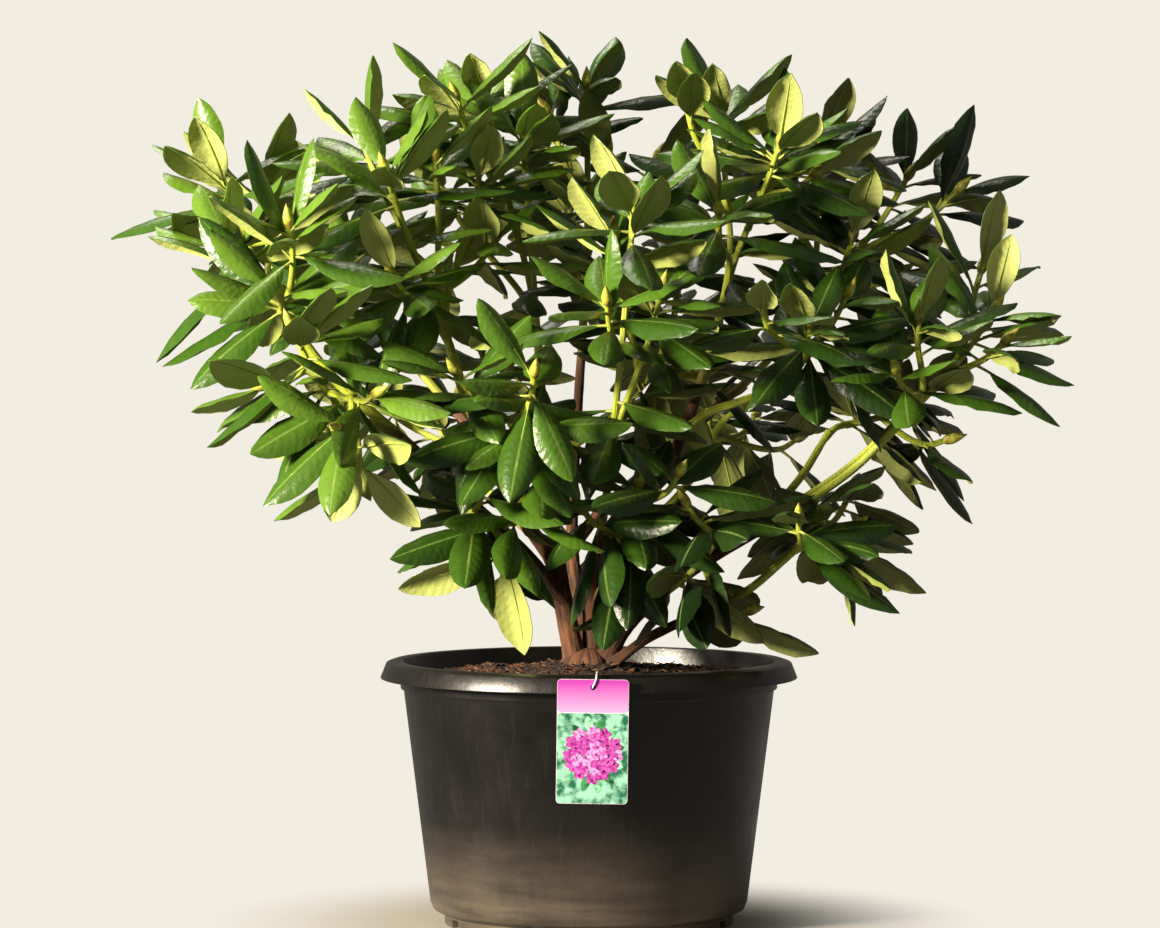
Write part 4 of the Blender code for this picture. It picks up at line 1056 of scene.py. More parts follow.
# %% The tree that sweeps blades
blade_tree, source, result = new_group(
    "leaf_blades", {"Fold": "Float", "Curl": "Float", "Wave": "Float", "Skin": "Material"}
)
curve = add(blade_tree, "GeometryNodeMeshToCurve", {"Mesh": source["Geometry"]}).outputs[0]
upwards = add(
    blade_tree, "GeometryNodeInputNamedAttribute", {"Name": "up"}, data_type="FLOAT_VECTOR"
).outputs[0]
curve = add(
    blade_tree, "GeometryNodeSetCurveNormal", {"Curve": curve, "Normal": upwards}, mode="FREE"
).outputs[0]
share = add(blade_tree, "GeometryNodeSplineParameter").outputs["Factor"]
curve = add(
    blade_tree, "GeometryNodeStoreNamedAttribute", {"Geometry": curve, "Name": "along", "Value": share},
    data_type="FLOAT", domain="POINT",
).outputs[0]
section = add(
    blade_tree, "GeometryNodeMeshLine", {"Count": 7, "Start Location": (-1, 0, 0), "Offset": (1 / 3, 0, 0)}
).outputs[0]
section = add(blade_tree, "GeometryNodeMeshToCurve", {"Mesh": section}).outputs[0]
spot = add(blade_tree, "GeometryNodeInputPosition").outputs[0]
split = add(blade_tree, "ShaderNodeSeparateXYZ", {0: spot}).outputs
from_midrib = add(blade_tree, "ShaderNodeMath", {0: split[0]}, operation="ABSOLUTE").outputs[0]
rise = add(blade_tree, "ShaderNodeMath", {0: from_midrib, 1: source["Fold"]}, operation="MULTIPLY").outputs[0]
square = add(blade_tree, "ShaderNodeMath", {0: from_midrib, 1: 2.0}, operation="POWER").outputs[0]
drop = add(blade_tree, "ShaderNodeMath", {0: square, 1: source["Curl"]}, operation="MULTIPLY").outputs[0]
height = add(blade_tree, "ShaderNodeMath", {0: rise, 1: drop}, operation="SUBTRACT").outputs[0]
# Curve to Mesh lays the x axis of the section along the normal of the curve.
bent = add(blade_tree, "ShaderNodeCombineXYZ", {0: height, 1: split[0]}).outputs[0]
section = add(
    blade_tree, "GeometryNodeStoreNamedAttribute", {"Geometry": section, "Name": "across", "Value": split[0]},
    data_type="FLOAT", domain="POINT",
).outputs[0]
section = add(blade_tree, "GeometryNodeSetPosition", {"Geometry": section, "Position": bent}).outputs[0]
width = add(blade_tree, "GeometryNodeInputNamedAttribute", {"Name": "reach"}, data_type="FLOAT").outputs[0]
swept = add(
    blade_tree, "GeometryNodeCurveToMesh", {"Curve": curve, "Profile Curve": section, "Scale": width}
).outputs[0]
across = add(blade_tree, "GeometryNodeInputNamedAttribute", {"Name": "across"}, data_type="FLOAT").outputs[0]
# The margins wave by a millimetre or so every few centimetres, each leaf in its own way.
where = add(blade_tree, "GeometryNodeInputPosition").outputs[0]
ripple = add(blade_tree, "ShaderNodeTexNoise", {"Vector": where, "Scale": 55.0, "Detail": 1.0}).outputs[0]
ripple = add(blade_tree, "ShaderNodeMath", {0: ripple, 1: 0.5}, operation="SUBTRACT").outputs[0]
aside = add(blade_tree, "ShaderNodeMath", {0: across}, operation="ABSOLUTE").outputs[0]
lift = add(blade_tree, "ShaderNodeMath", {0: ripple, 1: source["Wave"]}, operation="MULTIPLY").outputs[0]
lift = add(blade_tree, "ShaderNodeMath", {0: lift, 1: aside}, operation="MULTIPLY").outputs[0]
wave = add(blade_tree, "ShaderNodeVectorMath", {0: upwards, "Scale": lift}, operation="SCALE").outputs[0]
swept = add(blade_tree, "GeometryNodeSetPosition", {"Geometry": swept, "Offset": wave}).outputs[0]
length = add(blade_tree, "GeometryNodeInputNamedAttribute", {"Name": "along"}, data_type="FLOAT").outputs[0]
uv = add(blade_tree, "ShaderNodeCombineXYZ", {0: across, 1: length}).outputs[0]
swept = add(
    blade_tree, "GeometryNodeStoreNamedAttribute", {"Geometry": swept, "Name": "UVMap", "Value": uv},
    data_type="FLOAT2", domain="CORNER",
).outputs[0]
whole = add(blade_tree, "GeometryNodeRealizeInstances", {"Geometry": swept}).outputs[0]
dressed = add(blade_tree, "GeometryNodeSetMaterial", {"Geometry": whole, "Material": source["Skin"]})
blade_tree.links.new(dressed.outputs[0], result)
print("tree for blades:", len(blade_tree.nodes), "nodes")

# %% Leaf materials
def leaf_skin(name, colours, gloss, vein, bumpiness):
    """Leathery leaf skin: colours run from an old leaf to a young one, with the midrib and veins."""
    skin = bpy.data.materials.new(name)
    skin.use_nodes = True
    tree = skin.node_tree
    shader = tree.nodes["Principled BSDF"]
    youth = add(tree, "ShaderNodeAttribute", attribute_name="youth").outputs["Fac"]
    place = add(tree, "ShaderNodeTexCoord")
    uv = add(tree, "ShaderNodeSeparateXYZ", {0: place.outputs["UV"]}).outputs
    aside = add(tree, "ShaderNodeMath", {0: uv[0]}, operation="ABSOLUTE").outputs[0]
    ages = add(tree, "ShaderNodeMix", {0: youth, 6: linear(colours[0]), 7: linear(colours[1])}, data_type="RGBA")
    # About eleven pairs of side veins leave the midrib at a slant, 8 mm apart on a long leaf.
    slant = add(tree, "ShaderNodeMath", {0: aside, 1: -0.16, 2: uv[1]}, operation="MULTIPLY_ADD").outputs[0]
    wave = add(tree, "ShaderNodeMath", {0: slant, 1: math.tau * 11}, operation="MULTIPLY").outputs[0]
    veins = add(tree, "ShaderNodeMath", {0: wave}, operation="SINE").outputs[0]
    mottle = add(tree, "ShaderNodeTexNoise", {"Vector": place.outputs["Object"], "Scale": 90.0, "Detail": 3.0})
    shade = add(tree, "ShaderNodeMapRange", {"Value": mottle.outputs[0], "To Min": 0.82, "To Max": 1.18})
    body = add(
        tree, "ShaderNodeVectorMath", {0: ages.outputs[2], "Scale": shade.outputs[0]}, operation="SCALE"
    ).outputs[0]
    near = add(
        tree, "ShaderNodeMapRange", {"Value": aside, "From Min": 0.03, "From Max": 0.10, "To Min": 1.0, "To Max": 0.0}
    ).outputs[0]
    near = add(tree, "ShaderNodeMath", {0: near, 1: 0.42}, operation="MULTIPLY").outputs[0]
    mixed = add(tree, "ShaderNodeMix", {0: near, 6: body, 7: linear(vein)}, data_type="RGBA").outputs[2]
    tree.links.new(mixed, shader.inputs["Base Color"])
    shine = add(
        tree, "ShaderNodeMapRange", {"Value": mottle.outputs[0], "To Min": gloss - 0.06, "To Max": gloss + 0.10}
    ).outputs[0]
    tree.links.new(shine, shader.inputs["Roughness"])
    shader.inputs["Specular IOR Level"].default_value = 0.42
    quilt = add(tree, "ShaderNodeTexNoise", {"Vector": place.outputs["Object"], "Scale": 170.0, "Detail": 4.0}).outputs[0]
    bump = add(tree, "ShaderNodeBump", {"Height": quilt, "Strength": 0.5, "Distance": 0.0018})
    bump = add(
        tree, "ShaderNodeBump", {"Height": veins, "Strength": bumpiness, "Distance": 0.0006, "Normal": bump.outputs[0]}
    )
    tree.links.new(bump.outputs[0], shader.inputs["Normal"])
    return skin


# These four tones are lit and shaded copies of one leaf colour, lightest to darkest: painted light for sprays in the
# key light, painted shade for sprays away from it.
TONES = {
    "bright": (("#2f4f11", "#547521"), ("#8f9b49", "#b2bb6c")),
    "fresh": (("#25420d", "#426419"), ("#868f43", "#a8b064")),
    "deep": (("#19300a", "#2d4b12"), ("#77813c", "#99a25b")),
    "shade": (("#0f2108", "#1e330d"), ("#656f34", "#888f50")),
}
uppers = {tone: leaf_skin(f"glossy_{tone}_leaf", above, 0.31, "#76934a", 0.10) for tone, (above, _) in TONES.items()}
unders = {tone: leaf_skin(f"dull_{tone}_underside", under, 0.60, "#8f9a45", 0.12) for tone, (_, under) in TONES.items()}
print(len(uppers) + len(unders), "leaf skins")

# %% Blades
# Each spray takes its tone by where it stands in the light: the lightest on the lit left, darker ones towards the right
# and the back, as painted light and painted shade.
SPRAY_TONES = {
    "bright": ("left_spray", "left_low_spray", "upper_left_spray", "top_left_spray"),
    "fresh": ("front_left_spray", "low_left_spray", "centre_spray", "top_right_spray", "right_spray"),
    "deep": ("low_middle_spray", "right_front_spray", "low_right_spray", "back_left_spray", "back_top_spray",
             "middle_spray", "back_low_left_spray"),
    "shade": ("right_mid_spray", "inner_right_spray", "back_right_spray", "back_low_right_spray"),
}
BLADE_OUTLINE = (
    (0.10, 0.06), (0.16, 0.24), (0.23, 0.46), (0.32, 0.70), (0.42, 0.88), (0.52, 0.98), (0.62, 1.00),
    (0.72, 0.93), (0.81, 0.79), (0.89, 0.58), (0.95, 0.34), (1.0, 0.05),
)
WAVE = 9 * MM
OLD_BREADTH, YOUNG_BREADTH = 0.93, 1.12  # breadth against the rule's, of the oldest and youngest leaf
BLADE_THICKNESS = 0.6 * MM  # a real one is nearer 0.4 mm; this much lets its edge show
blade_lines = {tone: [] for tone in TONES}
stalk_lines = []
MIDRIB = ((0.0, 1.9), (0.07, 1.5), (0.14, 1.4), (0.35, 1.1), (0.65, 0.75), (0.93, 0.35))
for tone, names in SPRAY_TONES.items():
    for name in names:
        for leaf in leaves[name]:
            youth = min(max((LEAF_LENGTHS[0] - leaf.length) / (LEAF_LENGTHS[0] - LEAF_LENGTHS[1]), 0.0), 1.0)
            breadth = OLD_BREADTH + (YOUNG_BREADTH - OLD_BREADTH) * youth
            marks = leaf_line(leaf, [share for share, _ in BLADE_OUTLINE])
            blade_lines[tone].append([
                (point, {"up": normal, "reach": leaf.width / 2 * half * breadth, "youth": youth})
                for (point, normal), (_, half) in zip(marks, BLADE_OUTLINE)
            ])
            marks = leaf_line(leaf, [share for share, _ in MIDRIB])
            stalk_lines.append([
                (point - normal * (radius * 0.75 * MM), {"reach": radius * MM, "ripeness": 0.0})
                for (point, normal), (_, radius) in zip(marks, MIDRIB)
            ])
for tone, lines in blade_lines.items():
    blades = settle(lines_object(f"leaves_{tone}", lines), blade_tree, fold=0.28, curl=0.74, wave=WAVE, skin=uppers[tone])
    blades.data.materials.append(unders[tone])
    wall = blades.modifiers.new("Thickness", "SOLIDIFY")
    wall.thickness = BLADE_THICKNESS
    wall.offset = -1
    wall.material_offset = 1
    settle(blades)
    blades.data.shade_smooth()
    blades.data.set_sharp_from_angle(angle=math.radians(70))
    finish_piece(blades, "foliage", *SPRAY_TONES[tone])
    print(blades.name, len(lines), "leaves,", len(blades.data.polygons), "faces")

# %% Stalks and midribs
stalk_skin = bpy.data.materials.new("pale_leaf_stalk")
stalk_skin.use_nodes = True
tree = stalk_skin.node_tree
shader = tree.nodes["Principled BSDF"]
place = add(tree, "ShaderNodeTexCoord").outputs["Object"]
mottle = add(tree, "ShaderNodeTexNoise", {"Vector": place, "Scale": 60.0, "Detail": 2.0}).outputs[0]
colours = add(tree, "ShaderNodeMix", {0: mottle, 6: linear("#929f40"), 7: linear("#adb35a")}, data_type="RGBA")
tree.links.new(colours.outputs[2], shader.inputs["Base Color"])
shader.inputs["Roughness"].default_value = 0.5
stalks = settle(
    lines_object("leaf_stalks", stalk_lines), round_tree,
    sides=4, relief=0.0, ridge_width=RIDGE_WIDTH, skin=stalk_skin,
)
stalks.data.shade_smooth()
finish_piece(stalks, "foliage", *(spray.name for spray in SPRAYS))
print("stalks:", len(stalk_lines), "with", len(stalks.data.polygons), "faces")

# %% [markdown]
# ## The container
#
# A round tub of black recycled polypropylene, injection moulded, with a stiff turned-down lip, a
# collar under it and a recessed foot with drain notches. Half of its section is spun about the
# upright axis, which is how its mould is turned; a small bevel rounds its edges as moulding does.

# %% The container's section and shape
WALL = 2.6 * MM
FOOT_HEIGHT = 0.0125
FOOT_RADIUS = 0.146
FOOT_RING_WIDTH = 0.016
PAD_RADIUS = 0.030
PAD_RECESS = 0.008
BODY_BOTTOM_RADIUS = 0.1605
BODY_TOP_RADIUS = 0.1875
COLLAR_RADIUS = 0.1905
COLLAR_BOTTOM = 0.238
LIP_RADIUS = 0.211
LIP_CREST_RADIUS = 0.201
LIP_BOTTOM = 0.2486
LIP_THICKNESS = 2.8 * MM
DRAIN_NOTCHES = 8
DRAIN_NOTCH_WIDTH = 0.016
DRAIN_NOTCH_HEIGHT = 0.008
inner_top = BODY_TOP_RADIUS - WALL
TUB_SECTION = (
    (0, 0), (PAD_RADIUS, 0), (PAD_RADIUS, PAD_RECESS),
    (FOOT_RADIUS - FOOT_RING_WIDTH, PAD_RECESS), (FOOT_RADIUS - FOOT_RING_WIDTH, 0),
    (FOOT_RADIUS, 0), (FOOT_RADIUS, FOOT_HEIGHT - 0.002),
    (BODY_BOTTOM_RADIUS - 0.009, FOOT_HEIGHT), (BODY_BOTTOM_RADIUS - 0.003, FOOT_HEIGHT + 0.003),
    (BODY_BOTTOM_RADIUS, FOOT_HEIGHT + 0.010),
    (BODY_TOP_RADIUS, COLLAR_BOTTOM), (COLLAR_RADIUS, COLLAR_BOTTOM),
    (COLLAR_RADIUS, POT_HEIGHT - 0.006), (LIP_CREST_RADIUS - 0.002, POT_HEIGHT - 0.006),
    (LIP_RADIUS - LIP_THICKNESS, LIP_BOTTOM), (LIP_RADIUS, LIP_BOTTOM),
    (LIP_CREST_RADIUS + 0.004, POT_HEIGHT - 0.002), (LIP_CREST_RADIUS - 0.002, POT_HEIGHT),
    (inner_top + 0.003, POT_HEIGHT), (inner_top, COLLAR_BOTTOM),
    (BODY_BOTTOM_RADIUS - WALL, FOOT_HEIGHT + 0.010), (BODY_BOTTOM_RADIUS - 0.014, FOOT_HEIGHT + WALL),
    (0, FOOT_HEIGHT + WALL),
)


def spun(name, section, segments):
    """A mesh spun about the upright axis from a section of (radius, height) points."""
    form = bmesh.new()
    ring = [form.verts.new((radius, 0, height)) for radius, height in section]
    edges = [form.edges.new((a, b)) for a, b in zip(ring, ring[1:])]
    bmesh.ops.spin(
        form, geom=ring + edges, cent=(0, 0, 0), axis=(0, 0, 1), angle=math.tau, steps=segments, use_merge=True,
    )
    bmesh.ops.remove_doubles(form, verts=form.verts, dist=0.01 * MM)
    bmesh.ops.recalc_face_normals(form, faces=form.faces)
    mesh = bpy.data.meshes.new(name)
    form.to_mesh(mesh)
    form.free()
    thing = bpy.data.objects.new(name, mesh)
    scene.collection.objects.link(thing)
    return thing


tub = spun("nursery_tub", TUB_SECTION, 160)
form = bmesh.new()
for k in range(DRAIN_NOTCHES):
    turn = Matrix.Rotation(math.tau * (k + 0.5) / DRAIN_NOTCHES, 4, "Z")
    size = Matrix.Diagonal((FOOT_RING_WIDTH * 2.2, DRAIN_NOTCH_WIDTH, DRAIN_NOTCH_HEIGHT * 2, 1))
    shift = Matrix.Translation((FOOT_RADIUS - FOOT_RING_WIDTH / 2, 0, 0))
    bmesh.ops.create_cube(form, size=1, matrix=turn @ shift @ size)
notch_mesh = bpy.data.meshes.new("notches")
form.to_mesh(notch_mesh)
form.free()
notches = bpy.data.objects.new("notches", notch_mesh)
scene.collection.objects.link(notches)
cut = tub.modifiers.new("Notches", "BOOLEAN")
cut.object = notches
cut.operation = "DIFFERENCE"
cut.solver = "EXACT"
soft = tub.modifiers.new("Edges", "BEVEL")
soft.width = 0.9 * MM
soft.segments = 2
soft.limit_method = "ANGLE"
soft.angle_limit = math.radians(25)
settle(tub)
bpy.data.objects.remove(notches)
tub.data.shade_smooth()
tub.data.set_sharp_from_angle(angle=math.radians(50))
print("tub:", len(tub.data.polygons), "faces")

# %% Black polypropylene, scuffed and dusty
plastic = bpy.data.materials.new("black_recycled_polypropylene")
plastic.use_nodes = True
tree = plastic.node_tree
shader = tree.nodes["Principled BSDF"]
place = add(tree, "ShaderNodeTexCoord").outputs["Object"]
height = add(tree, "ShaderNodeSeparateXYZ", {0: place}).outputs[2]
# Scuffs from stacking run up and down, about 2 mm wide and 60 mm long.
drawn = add(tree, "ShaderNodeMapping", {"Vector": place, "Scale": (130, 130, 6)}).outputs[0]
scuffs = add(tree, "ShaderNodeTexNoise", {"Vector": drawn, "Scale": 1.0, "Detail": 4.0, "Roughness": 0.7}).outputs[0]
clouds = add(tree, "ShaderNodeTexNoise", {"Vector": place, "Scale": 14.0, "Detail": 6.0, "Roughness": 0.62}).outputs[0]
specks = add(tree, "ShaderNodeTexNoise", {"Vector": place, "Scale": 320.0, "Detail": 2.0}).outputs[0]
low = add(
    tree, "ShaderNodeMapRange", {"Value": height, "From Min": 0.0, "From Max": 0.11, "To Min": 1.0, "To Max": 0.0}
).outputs[0]
dirt = add(tree, "ShaderNodeMath", {0: low, 1: clouds}, operation="MULTIPLY").outputs[0]
marks = add(
    tree, "ShaderNodeMapRange", {"Value": scuffs, "From Min": 0.56, "From Max": 0.78, "To Min": 0.0, "To Max": 0.08}
).outputs[0]
dust = add(tree, "ShaderNodeMath", {0: dirt, 1: 0.6, 2: marks}, operation="MULTIPLY_ADD", use_clamp=True).outputs[0]
# Splashes dried in level rings a few millimetres apart, most of them low down.
level = add(tree, "ShaderNodeMapping", {"Vector": place, "Scale": (7, 7, 60)}).outputs[0]
rings = add(tree, "ShaderNodeTexNoise", {"Vector": level, "Scale": 1.0, "Detail": 4.0, "Roughness": 0.6}).outputs[0]
rings = add(
    tree, "ShaderNodeMapRange", {"Value": rings, "From Min": 0.35, "From Max": 0.80, "To Min": 0.0, "To Max": 0.6}
).outputs[0]
splash = add(tree, "ShaderNodeMath", {0: rings, 1: low}, operation="MULTIPLY").outputs[0]
dust = add(tree, "ShaderNodeMath", {0: dust, 1: splash}, operation="ADD", use_clamp=True).outputs[0]
plain = add(tree, "ShaderNodeMix", {0: clouds, 6: linear("#080707"), 7: linear("#141211")}, data_type="RGBA")
colour = add(
    tree, "ShaderNodeMix", {0: dust, 6: plain.outputs[2], 7: linear("#64584b")}, data_type="RGBA"
).outputs[2]
tree.links.new(colour, shader.inputs["Base Color"])
rough = add(
    tree, "ShaderNodeMapRange", {"Value": clouds, "From Min": 0.3, "From Max": 0.7, "To Min": 0.22, "To Max": 0.42}
).outputs[0]
rough = add(tree, "ShaderNodeMath", {0: dust, 1: 0.35, 2: rough}, operation="MULTIPLY_ADD").outputs[0]
tree.links.new(rough, shader.inputs["Roughness"])
bump = add(tree, "ShaderNodeBump", {"Height": specks, "Strength": 0.25, "Distance": 0.0004})
waves = add(tree, "ShaderNodeBump", {"Height": clouds, "Strength": 0.3, "Distance": 0.004, "Normal": bump.outputs[0]})
tree.links.new(waves.outputs[0], shader.inputs["Normal"])
shader.inputs["Specular IOR Level"].default_value = 0.5
tub.data.materials.append(plastic)
finish_piece(tub, "pot_plastic", "pot")

# %% [markdown]
# ## Compost
#
# Peat with bark chips and woody fibres, dark and damp, level round the root crown. The surface is
# spun like the tub's and roughened by noise; chips and fibres are scattered over it by Geometry
# Nodes, since there are many and no two lie alike.

# %% The surface of the compost
inner_bottom = BODY_BOTTOM_RADIUS - WALL
SOIL_EDGE_DROP = 0.006
SOIL_LEVEL_RADIUS = 0.070
edge = SOIL_TOP - SOIL_EDGE_DROP
surface = [(0, SOIL_TOP)]
for k in range(1, 13):
    radius = SOIL_LEVEL_RADIUS * k / 12
    surface.append((radius, SOIL_TOP))
for k in range(1, 25):
    share = k / 24
    surface.append((
        SOIL_LEVEL_RADIUS + (inner_top - CLEARANCE - SOIL_LEVEL_RADIUS) * share, SOIL_TOP - SOIL_EDGE_DROP * share
    ))
soil_section = [
    (0, FOOT_HEIGHT + WALL + CLEARANCE), (BODY_BOTTOM_RADIUS - 0.015, FOOT_HEIGHT + WALL + CLEARANCE),
    (inner_bottom - 2 * CLEARANCE, FOOT_HEIGHT + 0.0105), (inner_top - 2 * CLEARANCE, COLLAR_BOTTOM),
    *reversed(surface),
]
soil = spun("compost_bed", soil_section, 120)
MOUND_HEIGHT, MOUND_RADIUS = 8 * MM, 0.066  # peat heaped against the root crown
rng = random.Random("crumbs of peat")
from mathutils import noise
for vertex in soil.data.vertices:
    radius = math.hypot(vertex.co.x, vertex.co.y)
    if vertex.co.z > SOIL_TOP - SOIL_EDGE_DROP - 0.0001 and radius < inner_top - 0.001:
        coarse = noise.noise(vertex.co * 45)
        fine = noise.noise(vertex.co * 160)
        near_wall = min((inner_top - radius) / 0.012, 1.0)
        mound = MOUND_HEIGHT * min(max((MOUND_RADIUS - radius) / 0.030, 0.0), 1.0)
        vertex.co.z += mound + (coarse * 2.2 + fine * 1.8 + rng.uniform(-0.5, 0.5)) * MM * near_wall
soil.data.shade_smooth()
print("compost:", len(soil.data.polygons), "faces")

# %% Peat
peat = bpy.data.materials.new("damp_peat")
peat.use_nodes = True
tree = peat.node_tree
shader = tree.nodes["Principled BSDF"]
place = add(tree, "ShaderNodeTexCoord").outputs["Object"]
crumbs = add(tree, "ShaderNodeTexNoise", {"Vector": place, "Scale": 210.0, "Detail": 6.0, "Roughness": 0.7}).outputs[0]
damp = add(tree, "ShaderNodeTexNoise", {"Vector": place, "Scale": 25.0, "Detail": 2.0}).outputs[0]
ground = add(tree, "ShaderNodeValToRGB", {"Fac": crumbs})
ground.color_ramp.elements[0].position = 0.33
ground.color_ramp.elements[0].color = linear("#0f0906")
ground.color_ramp.elements[1].position = 0.72
ground.color_ramp.elements[1].color = linear("#3f2819")
shade = add(tree, "ShaderNodeMapRange", {"Value": damp, "To Min": 0.6, "To Max": 1.3}).outputs[0]
colour = add(tree, "ShaderNodeVectorMath", {0: ground.outputs[0], "Scale": shade}, operation="SCALE").outputs[0]
tree.links.new(colour, shader.inputs["Base Color"])
shader.inputs["Roughness"].default_value = 0.93
bump = add(tree, "ShaderNodeBump", {"Height": crumbs, "Strength": 0.9, "Distance": 0.003})
tree.links.new(bump.outputs[0], shader.inputs["Normal"])
soil.data.materials.append(peat)
finish_piece(soil, "compost", "soil")

# %% Chips and fibres
CHIP_MARGIN = 0.013
chip_tree, source, result = new_group(
    "scatter_on_compost",
    {"Count per m2": "Float", "Chip": "Vector", "Least": "Float", "Most": "Float", "Seed": "Int", "Skin": "Material"},
)
normal = add(chip_tree, "GeometryNodeInputNormal").outputs[0]
upward = add(chip_tree, "ShaderNodeSeparateXYZ", {0: normal}).outputs[2]
spot = add(chip_tree, "GeometryNodeInputPosition").outputs[0]
high = add(chip_tree, "ShaderNodeSeparateXYZ", {0: spot}).outputs[2]
flat = add(chip_tree, "ShaderNodeMath", {0: upward, 1: 0.3}, operation="GREATER_THAN").outputs[0]
on_top = add(chip_tree, "ShaderNodeMath", {0: high, 1: SOIL_TOP - 0.012}, operation="GREATER_THAN").outputs[0]
chosen = add(chip_tree, "ShaderNodeMath", {0: flat, 1: on_top}, operation="MULTIPLY").outputs[0]
# No chip lies so near the wall that it would stick through it.
flattened = add(chip_tree, "ShaderNodeVectorMath", {0: spot, 1: (1, 1, 0)}, operation="MULTIPLY").outputs[0]
out = add(chip_tree, "ShaderNodeVectorMath", {0: flattened}, operation="LENGTH").outputs["Value"]
off_wall = add(
    chip_tree, "ShaderNodeMath", {0: out, 1: inner_top - CHIP_MARGIN}, operation="LESS_THAN"
).outputs[0]
chosen = add(chip_tree, "ShaderNodeMath", {0: chosen, 1: off_wall}, operation="MULTIPLY").outputs[0]
points = add(
    chip_tree, "GeometryNodeDistributePointsOnFaces",
    {"Mesh": source["Geometry"], "Selection": chosen, "Density": source["Count per m2"], "Seed": source["Seed"]},
)
chip = add(chip_tree, "GeometryNodeMeshCube", {"Size": source["Chip"], "Vertices X": 3}).outputs[0]
where = add(chip_tree, "GeometryNodeInputPosition").outputs[0]
bulge = add(chip_tree, "ShaderNodeTexNoise", {"Vector": where, "Scale": 400.0}).outputs["Color"]
bulge = add(chip_tree, "ShaderNodeVectorMath", {0: bulge, 1: (0.5, 0.5, 0.5)}, operation="SUBTRACT").outputs[0]
bulge = add(chip_tree, "ShaderNodeVectorMath", {0: bulge, 1: source["Chip"]}, operation="MULTIPLY").outputs[0]
chip = add(chip_tree, "GeometryNodeSetPosition", {"Geometry": chip, "Offset": bulge}).outputs[0]
spin = add(
    chip_tree, "FunctionNodeRandomValue",
    {"Min": (-0.35, -0.35, 0.0), "Max": (0.35, 0.35, math.tau), "Seed": source["Seed"]}, data_type="FLOAT_VECTOR",
).outputs[0]
grade = add(
    chip_tree, "FunctionNodeRandomValue", {2: source["Least"], 3: source["Most"], "Seed": source["Seed"]},
    data_type="FLOAT",
).outputs[1]
laid = add(
    chip_tree, "GeometryNodeInstanceOnPoints",
    {"Points": points.outputs[0], "Instance": chip, "Rotation": spin, "Scale": grade},
).outputs[0]
laid = add(chip_tree, "GeometryNodeRealizeInstances", {"Geometry": laid}).outputs[0]
dressed = add(chip_tree, "GeometryNodeSetMaterial", {"Geometry": laid, "Material": source["Skin"]})
chip_tree.links.new(dressed.outputs[0], result)


def wood_skin(name, dark, pale, roughness):
    """Weathered wood of chips or fibres, each one a little different by where it lies."""
    skin = bpy.data.materials.new(name)
    skin.use_nodes = True
    tree = skin.node_tree
    shader = tree.nodes["Principled BSDF"]
    place = add(tree, "ShaderNodeTexCoord").outputs["Object"]
    spots = add(tree, "ShaderNodeTexNoise", {"Vector": place, "Scale": 130.0, "Detail": 3.0}).outputs[0]
    ramp = add(tree, "ShaderNodeValToRGB", {"Fac": spots})
    ramp.color_ramp.elements[0].position = 0.38
    ramp.color_ramp.elements[0].color = linear(dark)
    ramp.color_ramp.elements[1].position = 0.66
    ramp.color_ramp.elements[1].color = linear(pale)
    tree.links.new(ramp.outputs[0], shader.inputs["Base Color"])
    shader.inputs["Roughness"].default_value = roughness
    return skin


SCATTERS = {
    "bark_chips": (2600.0, (0.012, 0.006, 0.0026), (0.4, 1.3), 3, ("#170d08", "#5e3a22")),
    "peat_fibres": (5200.0, (0.019, 0.0010, 0.0009), (0.4, 1.4), 8, ("#2c1a0f", "#7d5632")),
    "peat_crumbs": (9000.0, (0.0042, 0.0036, 0.0030), (0.5, 1.3), 5, ("#120a07", "#3c2718")),
}
for name, (density, size, grades, seed, colours) in SCATTERS.items():
    bed = bpy.data.objects.new(name, soil.data.copy())
    scene.collection.objects.link(bed)
    settle(
        bed, chip_tree, count_per_m2=density, chip=size, least=grades[0], most=grades[1], seed=seed,
        skin=wood_skin(f"weathered_{name}", *colours, 0.9),
    )
    finish_piece(bed, "compost", "soil")
    print(name, len(bed.data.polygons), "faces")

# %% [markdown]
# ## Label and tie
#
# A printed polypropylene card hangs on the lip by a white tie. The print is a plain design: a pink
# head band, a misty green field with leaves, and a round truss of small five-petalled flowers. Each
# printed shape is a thin layer on the card, and no two neighbouring layers share a level.

# %% The card
LABEL_WIDTH = 0.0695
LABEL_HEIGHT = 0.121
LABEL_THICKNESS = 0.8 * MM
LABEL_CORNER = 0.004
LABEL_CENTRE_X = 0.003
LABEL_TOP = 0.2630
LABEL_LEAN = math.radians(0.8)
HOLE_RADIUS = 2.6 * MM
HOLE_BELOW_TOP = 0.008
TIE_RADIUS = 0.8 * MM
BAND_SHARE = 0.27
PRINT_THICKNESS = 0.06 * MM
card_back = -(LIP_RADIUS + CLEARANCE)
card_matrix = (
    Matrix.Translation((LABEL_CENTRE_X, card_back, LABEL_TOP - LABEL_HEIGHT / 2)) @ Matrix.Rotation(LABEL_LEAN, 4, "Y")
)


